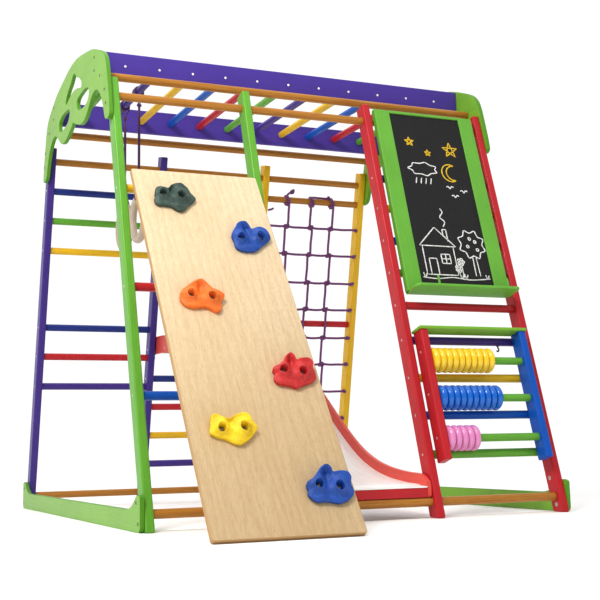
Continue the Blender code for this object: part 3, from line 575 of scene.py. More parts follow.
def post(name, x, foot_y, lean, top_z, mat, node, slot):
    """Leaning post: rounded arrises, foot cut level, crown eased."""
    up = Vector((0, lean, 1)).normalized()
    across = Vector((0, 1, -lean)).normalized()
    base = at(x, foot_y, 0.0)
    length = top_z / up.z
    off = seed_of(name)
    bm = bmesh.new()
    layer = bm.loops.layers.uv.new("grain")
    section = round_rect(POST_W, POST_D, 0.0048)
    vs = perimeter(section)
    rings = []
    for q in range(0, 6):
        a0 = math.radians(18 * q)
        ins, rise = 0.007 * (1 - math.sin(a0)), 0.007 * (1 - math.cos(a0))
        sec = round_rect(POST_W - 1.3 * ins, POST_D - 2 * ins,
                         max(0.0048 - ins * 0.3, 0.002))
        low = [base + X_AXIS * a + across * b for a, b in sec]
        low = [p - up * ((p.z - rise) / up.z) for p in low]
        rings.append(([bm.verts.new(p) for p in low], rise))
    for k in range(1, 12):
        s = (length - 0.004) * k / 11
        if k == 1:
            s = 0.03
        rings.append(([bm.verts.new(base + X_AXIS * a + across * b + up * s)
                       for a, b in section], s))
    for k in range(1, 4):
        a0 = math.radians(30 * k)
        inset, rise = 0.004 * (1 - math.cos(a0)), 0.004 * math.sin(a0)
        sec = round_rect(POST_W - 2 * inset, POST_D - 2 * inset,
                         max(0.0048 - inset, 0.001))
        s = length - 0.004 + rise
        rings.append(([bm.verts.new(base + X_AXIS * a + across * b + up * s)
                       for a, b in sec], s))
    for (lo, s0), (hi, s1) in zip(rings, rings[1:]):
        bridge(bm, layer, lo, hi, s0 + off, s1 + off, vs)
    cap(bm, layer, list(reversed(rings[0][0])), list(reversed(section)), off)
    cap(bm, layer, rings[-1][0], section, off)
    return finish_mesh(name, bm, [mat], "frame", node, slot=slot)


def rod(name, p0, p1, r, mat, body, node=None, slot=None, n=36, ease=0.0012,
        sink=0.0):
    axis = (p1 - p0).normalized()
    p0 = p0 - axis * sink
    p1 = p1 + axis * sink
    side = axis.orthogonal().normalized()
    other = axis.cross(side)
    length = (p1 - p0).length
    off = seed_of(name)
    bm = bmesh.new()
    layer = bm.loops.layers.uv.new("grain")
    vs = [2 * math.pi * r * i / n for i in range(n + 1)]
    spots = [(0.0, r - ease), (ease, r)]
    count = max(2, int(length / 0.06))
    spots += [(ease + (length - 2 * ease) * i / count, r) for i in range(1, count)]
    spots += [(length - ease, r), (length, r - ease)]
    rings = []
    for s, rr in spots:
        rings.append([bm.verts.new(p0 + axis * s
                                   + side * (rr * math.cos(2 * math.pi * i / n))
                                   + other * (rr * math.sin(2 * math.pi * i / n)))
                      for i in range(n)])
    for k in range(len(rings) - 1):
        bridge(bm, layer, rings[k], rings[k + 1], spots[k][0] + off,
               spots[k + 1][0] + off, vs)
    circle = [(r * math.cos(2 * math.pi * i / n), r * math.sin(2 * math.pi * i / n))
              for i in range(n)]
    cap(bm, layer, list(reversed(rings[0])), list(reversed(circle)), off)
    cap(bm, layer, rings[-1], circle, off)
    return finish_mesh(name, bm, [mat], body, node, slot=slot, weighted=False)


def loop_area(loop):
    return sum(a[0] * b[1] - b[0] * a[1]
               for a, b in zip(loop, loop[1:] + loop[:1])) / 2


def inset(loop, d):
    """Loop moved d to its left, with mitred corners."""
    out = []
    n = len(loop)
    for i in range(n):
        p, a, b = loop[i], loop[i - 1], loop[(i + 1) % n]
        e0 = Vector((p[0] - a[0], p[1] - a[1])).normalized()
        e1 = Vector((b[0] - p[0], b[1] - p[1])).normalized()
        n0, n1 = Vector((-e0.y, e0.x)), Vector((-e1.y, e1.x))
        k = (n0 + n1)
        k = k / max(k.length_squared, 0.4) * 2
        out.append((p[0] + k.x * d, p[1] + k.y * d))
    return out


def plate_bm(bm, layer, loops, origin, u, v, w, thick, r=0.0018, seg=3, off=0.0,
             grain_v=False, edge_index=0, face_index=0):
    """Flat board with rounded arrises, from an outline and its holes."""
    fixed = []
    for k, loop in enumerate(loops):
        ccw = loop_area(loop) > 0
        if ccw != (k == 0):
            loop = list(reversed(loop))
        fixed.append(list(loop))
    steps = []
    for i in range(seg + 1):
        a = math.pi / 2 * i / seg
        steps.append((r * (1 - math.sin(a)), r * (1 - math.cos(a))))
    profile = [(d, h) for d, h in steps]
    profile += [(d, thick - h) for d, h in reversed(steps)]
    tops, lows, flat_top, flat_low = [], [], [], []
    for loop in fixed:
        rings = []
        for d, h in profile:
            pts = inset(loop, d) if d > 1e-7 else loop
            rings.append((pts, [bm.verts.new(origin + u * a + v * b + w * h)
                                for a, b in pts]))
        vs = perimeter(loop)
        hs = [0.0]
        for (d0, h0), (d1, h1) in zip(profile, profile[1:]):
            hs.append(hs[-1] + math.hypot(d1 - d0, h1 - h0))
        n = len(loop)
        for k in range(len(rings) - 1):
            lo, hi = rings[k][1], rings[k + 1][1]
            for i in range(n):
                j = (i + 1) % n
                f = bm.faces.new((lo[i], lo[j], hi[j], hi[i]))
                f.material_index = edge_index
                uv_quad(f, layer, ((vs[i] + off, hs[k]), (vs[i + 1] + off, hs[k]),
                                   (vs[i + 1] + off, hs[k + 1]),
                                   (vs[i] + off, hs[k + 1])))
        lows += rings[0][1]
        flat_low.append(rings[0][0])
        tops += rings[-1][1]
        flat_top.append(rings[-1][0])
    tris = tessellate_polygon([[Vector((a, b, 0)) for a, b in lp]
                               for lp in flat_top])
    pts = [p for lp in flat_top for p in lp]
    for verts, flip in ((tops, False), (lows, True)):
        for t in tris:
            t = list(reversed(t)) if flip else list(t)
            try:
                f = bm.faces.new([verts[i] for i in t])
            except ValueError:
                continue
            f.material_index = face_index
            uv_quad(f, layer, [((pts[i][1] if grain_v else pts[i][0]) + off,
                                (pts[i][0] if grain_v else pts[i][1])) for i in t])


def plate(name, loops, origin, u, v, w, thick, mats, body, node=None, slot=None,
          r=0.0018, grain_v=False, edge_index=0):
    bm = bmesh.new()
    layer = bm.loops.layers.uv.new("grain")
    plate_bm(bm, layer, loops, origin, u, v, w, thick, r, 3, seed_of(name),
             grain_v, edge_index)
    return finish_mesh(name, bm, mats, body, node, slot=slot, sharp=50.0)


def spline2(pts, n, closed=False):
    out = []
    m = len(pts)
    last = m if closed else m - 1
    for i in range(last):
        if closed:
            p0, p1, p2, p3 = (pts[(i + k - 1) % m] for k in range(4))
        else:
            p0, p1, p2, p3 = (pts[min(max(i + k - 1, 0), m - 1)] for k in range(4))
        for k in range(n):
            t = k / n
            out.append(tuple(
                0.5 * (2 * b + (c - a) * t + (2 * a - 5 * b + 4 * c - d) * t * t
                       + (3 * b - a - 3 * c + d) * t ** 3)
                for a, b, c, d in zip(p0, p1, p2, p3)))
    if not closed:
        out.append(tuple(pts[-1]))
    return out


def tube_bm(bm, layer, pts, r, n=10, cyclic=False, radii=None, off=0.0):
    """Round cord along a path; u is the length, v goes once round it."""
    pts = [Vector(p) for p in pts]
    m = len(pts)
    rings = []
    normal = None
    s = 0.0
    lengths = [0.0]
    for i in range(m):
        a = pts[(i - 1) % m] if (cyclic or i) else pts[0]
        b = pts[(i + 1) % m] if (cyclic or i < m - 1) else pts[-1]
        t = (b - a).normalized()
        if normal is None:
            normal = t.orthogonal().normalized()
        normal = (normal - t * normal.dot(t)).normalized()
        side = t.cross(normal)
        rr = radii[i] if radii else r
        rings.append([bm.verts.new(pts[i] + normal * (rr * math.cos(2 * math.pi * k / n))
                                   + side * (rr * math.sin(2 * math.pi * k / n)))
                      for k in range(n)])
        if i:
            s += (pts[i] - pts[i - 1]).length
            lengths.append(s)
    vs = [k / n for k in range(n + 1)]
    for i in range(m - 1):
        bridge(bm, layer, rings[i], rings[i + 1], lengths[i] + off,
               lengths[i + 1] + off, vs)
    if cyclic:
        # close the loop with the turn that matches best
        last, first = rings[-1], rings[0]
        best = min(range(n), key=lambda k: (last[0].co - first[k].co).length)
        turned = first[best:] + first[:best]
        bridge(bm, layer, last, turned, s + off,
               s + off + (pts[0] - pts[-1]).length, vs)
    else:
        for ring, flip in ((rings[0], True), (rings[-1], False)):
            c = sum((v.co for v in ring), Vector()) / n
            hub = bm.verts.new(c)
            for k in range(n):
                j = (k + 1) % n
                tri = (ring[j], ring[k], hub) if flip else (ring[k], ring[j], hub)
                f = bm.faces.new(tri)
                uv_quad(f, layer, ((off, k / n), (off, (k + 1) / n), (off, 0.5)))


def lathe_bm(bm, layer, profile, origin, axis, n=32, index=0, side=None):
    """Turned solid: profile is (distance along the axis, radius)."""
    side = side or axis.orthogonal().normalized()
    other = axis.cross(side)
    rings = []
    for s, r in profile:
        if r < 1e-7:
            rings.append([bm.verts.new(origin + axis * s)])
        else:
            rings.append([bm.verts.new(
                origin + axis * s + side * (r * math.cos(2 * math.pi * i / n))
                + other * (r * math.sin(2 * math.pi * i / n))) for i in range(n)])
    run = 0.0
    for k in range(len(rings) - 1):
        lo, hi = rings[k], rings[k + 1]
        d = math.hypot(profile[k + 1][0] - profile[k][0],
                       profile[k + 1][1] - profile[k][1])
        rr = max(profile[k][1], profile[k + 1][1])
        for i in range(n):
            j = (i + 1) % n
            if len(lo) == 1 and len(hi) == 1:
                continue
            if len(lo) == 1:
                f = bm.faces.new((lo[0], hi[j], hi[i]))
                uvs = ((0, run), (rr * 6.28 * j / n, run + d), (rr * 6.28 * i / n, run + d))
            elif len(hi) == 1:
                f = bm.faces.new((lo[i], lo[j], hi[0]))
                uvs = ((rr * 6.28 * i / n, run), (rr * 6.28 * j / n, run), (0, run + d))
            else:
                f = bm.faces.new((lo[i], lo[j], hi[j], hi[i]))
                uvs = ((rr * 6.28 * i / n, run), (rr * 6.28 * (i + 1) / n, run),
                       (rr * 6.28 * (i + 1) / n, run + d), (rr * 6.28 * i / n, run + d))
            f.material_index = index
            uv_quad(f, layer, uvs)
        run += d


def screw_bm(bm, layer, spot, normal, r=0.0042, dome=0.0012, index=0):
    """Countersunk head with a hexagonal socket."""
    normal = normal.normalized()
    side = normal.orthogonal().normalized()
    other = normal.cross(side)
    n = 24
    levels = [(-0.0006, r), (dome * 0.35, r * 0.98), (dome * 0.8, r * 0.84),
              (dome, r * 0.62), (dome, r * 0.50)]
    rings = []
    for s, rr in levels:
        rings.append([bm.verts.new(spot + normal * s + side * (rr * math.cos(2 * math.pi * i / n))
                                   + other * (rr * math.sin(2 * math.pi * i / n)))
                      for i in range(n)])
    for depth in (dome - 0.0002, dome - 0.0016):
        ring = []
        for i in range(n):
            a = 2 * math.pi * i / n
            hexr = r * 0.44 / math.cos((a + math.pi / 6) % (math.pi / 3) - math.pi / 6)
            ring.append(bm.verts.new(spot + normal * depth + side * (hexr * math.cos(a))
                                     + other * (hexr * math.sin(a))))
        rings.append(ring)
    for lo, hi in zip(rings, rings[1:]):
        for i in range(n):
            j = (i + 1) % n
            f = bm.faces.new((lo[i], lo[j], hi[j], hi[i]))
            f.material_index = index
    for ring in (rings[-1], list(reversed(rings[0]))):
        f = bm.faces.new(ring)
        f.material_index = index


def cap_bm(bm, layer, spot, normal, r=0.0041, dome=0.0018):
    """Domed press-in cover cap."""
    profile = [(-0.0004, 0.0), (-0.0004, r)]
    for i in range(1, 6):
        a = math.radians(18 * i)
        profile.append((dome * math.sin(a), r * math.cos(a)))
    profile[-1] = (dome, 0.0)
    lathe_bm(bm, layer, profile, spot, normal.normalized(), 20)


def group(name, build, mats, body, **kw):
    bm = bmesh.new()
    layer = bm.loops.layers.uv.new("grain")
    build(bm, layer)
    return finish_mesh(name, bm, mats, body, **kw)


# ------------------------------------------------------------------- ladders
post("green_post_left_wood", 0, 0, FRONT_LEAN, FRONT_TOP_Z, GREEN,
     "green_post_left", "green_wood")
post("green_post_middle_wood", BAY, 0, FRONT_LEAN, FRONT_TOP_Z, GREEN,
     "green_post_middle", "green_wood")
for k in (2, 3):
    post("red_post_%d" % (k - 1), k * BAY, 0, FRONT_LEAN, FRONT_TOP_Z, RED,
         "red_ladder", "red_wood")
for k in (0, 1):
    post("purple_post_%d" % (k + 1), k * BAY, REAR_FOOT_Y, REAR_LEAN, REAR_TOP_Z,
         PURPLE, "purple_ladder", "purple_wood")
post("yellow_post_inner_wood", 2 * BAY, REAR_FOOT_Y, REAR_LEAN, REAR_TOP_Z,
     YELLOW, "yellow_post_inner", "yellow_wood")
post("yellow_post_right_wood", 3 * BAY, REAR_FOOT_Y, REAR_LEAN, REAR_TOP_Z,
     YELLOW, "yellow_post_right", "yellow_wood")


def rung(name, k, y, z, mat, node, slot, sink=0.001):
    x0 = (k - 1) * BAY + POST_W / 2 + GAP
    x1 = k * BAY - POST_W / 2 - GAP
    rod(name, at(x0, y, z), at(x1, y, z), RUNG_R, mat, "frame", node, slot,
        sink=sink)


PAINTS = {"green": GREEN, "purple": PURPLE, "yellow": YELLOW, "blue": BLUE,
          "red": RED, "navy": NAVY}
for i, (z, c) in enumerate(zip((2.483, 2.236, 1.977, 1.726, 1.477, 1.218, 0.946,
                                0.683, 0.416),
                               ("navy", "yellow", "blue", "green", "red",
                                "purple", "yellow", "blue", "green"))):
    rung("red_ladder_rung_%d" % (i + 1), 3, front_y(z * BAY), z * BAY, PAINTS[c],
         "red_ladder", ("blue" if c == "navy" else c) + "_wood")
for i, (z, c) in enumerate(zip((2.719, 2.467, 2.213, 1.555, 1.305, 1.049),
                               ("navy", "green", "yellow", "navy", "red",
                                "purple"))):
    rung("purple_ladder_rung_%d" % (i + 1), 1, rear_y(z * BAY), z * BAY,
         PAINTS[c], "purple_ladder", ("blue" if c == "navy" else c) + "_wood")
for c, z in (("yellow", 2.252), ("red", 1.547), ("blue", 0.825)):
    rung("front_rung_%s_wood" % c, 1, front_y(z * BAY), z * BAY, PAINTS[c],
         "front_rung_" + c, c + "_wood")
for c, z in (("green", 1.376), ("blue", 1.119), ("red", 0.866), ("yellow", 0.610),
             ("purple", 0.356)):
    rung("rear_rung_%s_wood" % c, 2, rear_y(z * BAY), z * BAY,
         NAVY if c == "blue" else PAINTS[c], "rear_rung_" + c, c + "_wood")
rung("net_bay_rung_wood", 3, rear_y(1.645 * BAY), 1.645 * BAY, RED,
     "net_bay_rung_red", "red_wood")
rung("net_rod_wood", 3, rear_y(2.786 * BAY), 2.786 * BAY, GOLD, "net_rod",
     "gold_wood")

X_LOW, X_HIGH = POST_W / 2 + GAP, 3 * BAY - POST_W / 2 - GAP
for name, y, z in (
        ("tie_rod_front_bottom", front_y(BOTTOM_ROD_Z), BOTTOM_ROD_Z),
        ("tie_rod_front_top", front_y(FRONT_TOP_ROD_Z), FRONT_TOP_ROD_Z),
        ("tie_rod_rear_bottom", rear_y(BOTTOM_ROD_Z), BOTTOM_ROD_Z),
        ("tie_rod_rear_top", rear_y(REAR_TOP_ROD_Z), REAR_TOP_ROD_Z)):
    rod(name + "_wood", at(X_LOW, y, z), at(X_HIGH, y, z), RUNG_R, GOLD, "frame",
        name, "gold_wood")
X_LOW, X_HIGH = -PLATE_IN + GAP, 3 * BAY + PLATE_IN - GAP
for name, (y, z) in (("arch_rod_front", ARCH_ROD_FRONT),
                     ("arch_rod_rear", ARCH_ROD_REAR)):
    rod(name + "_wood", at(X_LOW, y, z), at(X_HIGH, y, z), RUNG_R, GOLD, "frame",
        name, "gold_wood")

# ------------------------------------------------------ beams and monkey bars
for name, y in (("beam_front", BEAM_Y[0]), ("beam_rear", BEAM_Y[1])):
    outline = [(0, BEAM_Z0), (X_HIGH - X_LOW, BEAM_Z0), (X_HIGH - X_LOW, BEAM_Z1),
               (0, BEAM_Z1)]
    plate(name + "_board", [outline], at(X_LOW, y - BEAM_T / 2, 0), X_AXIS, Z_AXIS,
          Y_AXIS, BEAM_T, [PURPLE_PLY], "frame", name, "purple_plywood", r=0.0028)
BAR_PAINTS = ((GREEN, "green_wood"), (PURPLE, "purple_wood"), (YELLOW, "yellow_wood"),
              (BLUE, "blue_wood"), (RED, "red_wood"))
for i in range(11):
    x = BAR_FIRST + i * BAR_PITCH
    rod("monkey_bar_%02d_wood" % (i + 1), at(x, BEAM_Y[0] + BEAM_T / 2 + GAP, BAR_Z),
        at(x, BEAM_Y[1] - BEAM_T / 2 - GAP, BAR_Z), RUNG_R, BAR_PAINTS[i % 5][0],
        "frame", "monkey_bar_%02d" % (i + 1), BAR_PAINTS[i % 5][1])


def beam_caps(bm, layer):
    for i in range(11):
        x = BAR_FIRST + i * BAR_PITCH
        cap_bm(bm, layer, at(x, BEAM_Y[0] - BEAM_T / 2, BAR_Z), -Y_AXIS)
        cap_bm(bm, layer, at(x, BEAM_Y[1] + BEAM_T / 2, BAR_Z), Y_AXIS)


group("beam_screw_caps", beam_caps, [CAP], "frame", weighted=False)

# ------------------------------------------------------- arch and base plates
ARCH_HALF = ((0.000, 3.526), (0.150, 3.518), (0.300, 3.495), (0.450, 3.468),
             (0.600, 3.437), (0.720, 3.397), (0.830, 3.354), (0.930, 3.307),
             (0.995, 3.248), (1.030, 3.180), (1.055, 3.102), (1.080, 3.014),
             (1.104, 2.927), (1.121, 2.849), (1.126, 2.805), (1.095, 2.781),
             (1.025, 2.786), (0.985, 2.815), (0.962, 2.863), (0.928, 2.927),
             (0.884, 2.985), (0.830, 3.036), (0.765, 3.073), (0.690, 3.087),
             (0.620, 3.073), (0.552, 3.039), (0.488, 2.997), (0.420, 2.962),
             (0.340, 2.944), (0.250, 2.949), (0.170, 2.968), (0.095, 2.993),
             (0.035, 3.013), (0.000, 3.030))
CENTRE_HOLE_HALF = ((0.000, 3.426), (0.100, 3.374), (0.190, 3.338),
                    (0.258, 3.292), (0.268, 3.256), (0.235, 3.247),
                    (0.165, 3.264), (0.075, 3.284), (0.000, 3.287))
LEAF_HOLE = ((0.490, 3.169), (0.395, 3.192), (0.270, 3.192), (0.160, 3.180),
             (0.125, 3.149), (0.163, 3.095), (0.230, 3.075), (0.320, 3.065),
             (0.425, 3.067), (0.495, 3.095), (0.512, 3.136))


def whole(half):
    return list(half) + [(-d, z) for d, z in reversed(half[1:-1])]


ARCH_LOOPS = [[(d * BAY, z * BAY) for d, z in spline2(lp, 5, True)] for lp in (
    whole(ARCH_HALF), whole(CENTRE_HOLE_HALF), LEAF_HOLE,
    [(-d, z) for d, z in reversed(LEAF_HOLE)])]
for side, x in (("left", -PLATE_OUT), ("right", 3 * BAY + PLATE_IN)):
    plate("arch_plate_%s_board" % side, ARCH_LOOPS, at(x, ARCH_MID_Y, 0.0), Y_AXIS,
          Z_AXIS, X_AXIS, PLATE_T, [GREEN_PLY, GREEN_EDGE_SHADED], "frame",
          "arch_plate_" + side, "green_plywood", r=0.0016, edge_index=1)

BASE_FRONT, BASE_REAR = -0.031 * BAY, 3.658 * BAY
BASE_HOOK = ((0.000, 0.210), (0.030, 0.222), (0.070, 0.220), (0.118, 0.196),
             (0.176, 0.158), (0.262, 0.134), (0.360, 0.130))
base_len = BASE_REAR - BASE_FRONT
hook = [(a * BAY, b * BAY) for a, b in spline2(BASE_HOOK, 5)]
turn = [(0.016 * (1 - math.sin(math.radians(a))),
         0.016 * (1 - math.cos(math.radians(a)))) for a in range(0, 91, 10)]
base_outline = ([(base_len - a, b) for a, b in turn]
                + [(base_len - a, b) for a, b in hook] + list(reversed(hook))
                + list(reversed(turn)))
for side, x in (("left", -PLATE_OUT), ("right", 3 * BAY + PLATE_IN)):
    plate("base_plate_%s_board" % side, [base_outline], at(x, BASE_FRONT, 0.0),
          Y_AXIS, Z_AXIS, X_AXIS, PLATE_T, [GREEN_PLY, GREEN_EDGE_SHADED], "frame",
          "base_plate_" + side, "green_plywood", r=0.0016, edge_index=1)

ARCH_SCREWS = ((BEAM_Y[0] / BAY, 3.352), (BEAM_Y[0] / BAY, 3.250),
               (1.0375, 3.158), (0.906, 3.018), (0.868, 2.905),
               (BEAM_Y[1] / BAY, 3.352), (BEAM_Y[1] / BAY, 3.250),
               (2.789, 3.172), (2.938, 3.030), (2.965, 2.912))
BASE_SCREWS = ((0.054, 0.175), (0.012, 0.052), (3.606, 0.168), (3.616, 0.048))


def plate_screws(bm, layer):
    for y, z in ARCH_SCREWS + BASE_SCREWS:
        screw_bm(bm, layer, at(-PLATE_OUT, y * BAY, z * BAY), -X_AXIS, 0.0052)
        screw_bm(bm, layer, at(3 * BAY + PLATE_OUT, y * BAY, z * BAY), X_AXIS,
                 0.0052)


def foot_bolts(bm, layer):
    for x, s in ((3 * BAY - POST_W / 2, -1), (POST_W / 2, 1)):
        for z, dy in ((0.232, 0.004), (0.052, 0.0)):
            screw_bm(bm, layer, at(x, front_y(z * BAY) + dy, z * BAY), X_AXIS * s,
                     0.0062, 0.0016)
            screw_bm(bm, layer, at(x, rear_y(z * BAY) - dy, z * BAY), X_AXIS * s,
                     0.0062, 0.0016)


group("foot_bolts", foot_bolts, [SCREW_LIT], "frame", weighted=False)
group("plate_screws", plate_screws, [SCREW_SHADED], "frame", weighted=False)


def post_screws(bm, layer):
    for z in (2.483, 2.236, 1.977, 1.726, 1.477, 1.218, 0.946, 0.683, 0.416):
        p = at(2 * BAY - POST_W / 2, front_y(z * BAY), z * BAY)
        screw_bm(bm, layer, p, -X_AXIS, 0.0038, 0.0008)
    for z in (2.719, 2.467, 2.213, 1.555, 1.305, 1.049):
        for k, s in ((0, -1), (1, 1)):
            p = at(k * BAY + s * POST_W / 2, rear_y(z * BAY), z * BAY)
            screw_bm(bm, layer, p, X_AXIS * s, 0.0038, 0.0008)
    for z in (2.483, 2.236, 1.977, 1.726, 1.477, 1.218, 0.946, 0.683, 0.416):
        p = at(3 * BAY + POST_W / 2, front_y(z * BAY), z * BAY)
        screw_bm(bm, layer, p, X_AXIS, 0.0038, 0.0008)
    for z in (2.252, 1.547, 0.825):
        screw_bm(bm, layer, at(-POST_W / 2, front_y(z * BAY), z * BAY), -X_AXIS,
                 0.0038, 0.0008)
        screw_bm(bm, layer, at(BAY + POST_W / 2, front_y(z * BAY), z * BAY),
                 X_AXIS, 0.0038, 0.0008)
    for z in (1.376, 1.119, 0.866, 0.610, 0.356):
        screw_bm(bm, layer, at(BAY - POST_W / 2, rear_y(z * BAY), z * BAY),
                 -X_AXIS, 0.0038, 0.0008)
    for z in (1.645, 2.786):
        screw_bm(bm, layer, at(3 * BAY + POST_W / 2, rear_y(z * BAY), z * BAY),
                 X_AXIS, 0.0038, 0.0008)


group("post_screws", post_screws, [SCREW_LIT], "frame", weighted=False)

# ------------------------------------------------------------ climbing board
climb_foot = at(CLIMB_X[0], CLIMB_FOOT_Y, 0.0) + C_UP * (CLIMB_T * CLIMB_LEAN)
board_w = CLIMB_X[1] - CLIMB_X[0]
board_len = CLIMB_LEN - CLIMB_T * CLIMB_LEAN
corner = round_rect(board_w, board_len, 0.006, 5)
corner = [(a + board_w / 2, b + board_len / 2) for a, b in corner]
plate("climbing_board_panel", [corner], climb_foot - C_OUT * CLIMB_T, X_AXIS, C_UP,
      C_OUT, CLIMB_T, [BIRCH, BIRCH_EDGE], "climbing_board", "climbing_board",
      "birch_plywood", r=0.0015, grain_v=True, edge_index=1)
hook_z = 2.252 * BAY
HOOK_SLOT_R = 0.0136
ry, rz = front_y(hook_z), hook_z
top_back = climb_foot + C_UP * (board_len - 0.012) - C_OUT * (CLIMB_T - 0.001)
low_back = climb_foot + C_UP * (board_len - 0.130) - C_OUT * (CLIMB_T - 0.001)
frame0 = at(0, 0, 0)
ty, tz = top_back.y - frame0.y, top_back.z
ly, lz = low_back.y - frame0.y, low_back.z
slot_arc = [(ry + HOOK_SLOT_R * math.cos(math.radians(a)),
             rz + HOOK_SLOT_R * math.sin(math.radians(a)))
            for a in range(180, -1, -12)]
cheek = ([(ly, lz), (ry - HOOK_SLOT_R - 0.012, rz - 0.034),
          (ry - HOOK_SLOT_R, rz - 0.030)] + slot_arc
         + [(ry + HOOK_SLOT_R, rz - 0.022), (ry + HOOK_SLOT_R + 0.010, rz - 0.026),
            (ry + HOOK_SLOT_R + 0.018, rz - 0.016),
            (ry + HOOK_SLOT_R + 0.018, rz + 0.018),
            (ry + HOOK_SLOT_R + 0.006, tz)] + [(ty, tz)])
for i, x in enumerate((0.120 * BAY, 0.840 * BAY)):
    plate("climbing_board_cheek_%d" % (i + 1), [cheek], at(x, 0, 0), Y_AXIS, Z_AXIS,
          X_AXIS, 0.018, [BIRCH, BIRCH_EDGE], "climbing_board", "climbing_board",
          "birch_plywood", r=0.001, edge_index=1)

# -------------------------------------------------------------- climbing holds
HOLD_SHAPES = {
    "green": (0.2790, 2.575, (
        (-53, 21, 22), (-44, 24, 26), (-33, 21, 28), (-17, 23, 24), (-3, 38, 24),
        (22, 43, 28), (36, 35, 24), (44, 26, 22), (50, 12, 18), (63, 1, 12),
        (59, -11, 8), (42, -26, 8), (24, -48, 7), (9, -54, 7), (-3, -49, 7),
        (-15, -38, 7), (-33, -35, 7), (-51, -35, 7), (-60, -26, 7), (-61, -13, 9),
        (-55, -5, 14), (-57, 6, 18)), ((-35, -1), (15, -8))),
    "blue_upper": (0.7640, 2.237, (
        (-50, 28, 24), (-43, 39, 26), (-31, 46, 28), (-17, 45, 28), (-9, 36, 24),
        (-1, 25, 20), (12, 29, 22), (23, 29, 26), (39, 21, 26), (48, 5, 22),
        (51, -5, 14), (40, -16, 10), (21, -32, 8), (2, -49, 7), (-18, -55, 7),
        (-43, -54, 7), (-58, -45, 7), (-62, -34, 8), (-61, -17, 12), (-64, -4, 18),
        (-63, 7, 22)), ((-41, -15), (16, -9))),
    "orange": (0.3010, 1.698, (
        (-62, 1, 20), (-56, 12, 22), (-36, 28, 24), (-13, 44, 26), (4, 47, 28),
        (14, 39, 26), (30, 22, 22), (48, 12, 22), (60, 2, 20), (57, -8, 14),
        (48, -23, 10), (48, -34, 8), (42, -47, 7), (30, -52, 7), (18, -44, 8),
        (3, -36, 8), (-24, -39, 7), (-46, -36, 7), (-58, -24, 8), (-63, -11, 12)),
        ((-34, -5), (21, -13))),
    "red": (0.7760, 1.120, (
        (-60, 7, 20), (-47, 12, 22), (-31, 24, 24), (-21, 39, 26), (-7, 48, 28),
        (2, 40, 28), (8, 28, 24), (20, 32, 26), (42, 31, 28), (52, 21, 24),
        (50, 7, 18), (55, -10, 12), (51, -25, 8), (36, -37, 7), (13, -44, 7),
        (-7, -54, 7), (-17, -49, 7), (-40, -44, 7), (-58, -39, 7), (-64, -26, 8),
        (-61, -15, 10), (-58, -9, 13), (-62, -1, 18)), ((-37, -6), (13, -13))),
    "yellow": (0.2970, 0.701, (
        (-55, 36, 24), (-44, 38, 24), (-27, 32, 20), (-9, 28, 20), (8, 36, 24),
        (28, 39, 28), (41, 31, 28), (46, 15, 24), (57, 4, 18), (48, -11, 12),
        (32, -28, 7), (10, -41, 7), (-9, -37, 7), (-32, -23, 7), (-50, -19, 7),
        (-64, -9, 8), (-64, -3, 10), (-61, 9, 18), (-58, 21, 22)),
        ((-37, -3), (20, -2))),
    "blue_lower": (0.7780, 0.333, (
        (-59, 1, 20), (-43, 10, 22), (-29, 24, 26), (-15, 38, 28), (-2, 42, 30),
        (8, 34, 28), (12, 24, 24), (32, 25, 26), (49, 20, 28), (56, 8, 24),
        (53, -8, 18), (58, -22, 12), (52, -36, 8), (33, -50, 7), (15, -55, 7),
        (0, -53, 7), (-18, -49, 7), (-44, -49, 7), (-59, -37, 7), (-62, -25, 8),
        (-59, -19, 12), (-61, -10, 16)), ((-34, -11), (17, -18)))}


def smooth(a, b, x):
    t = min(max((x - a) / (b - a), 0.0), 1.0)
    return t * t * (3 - 2 * t)


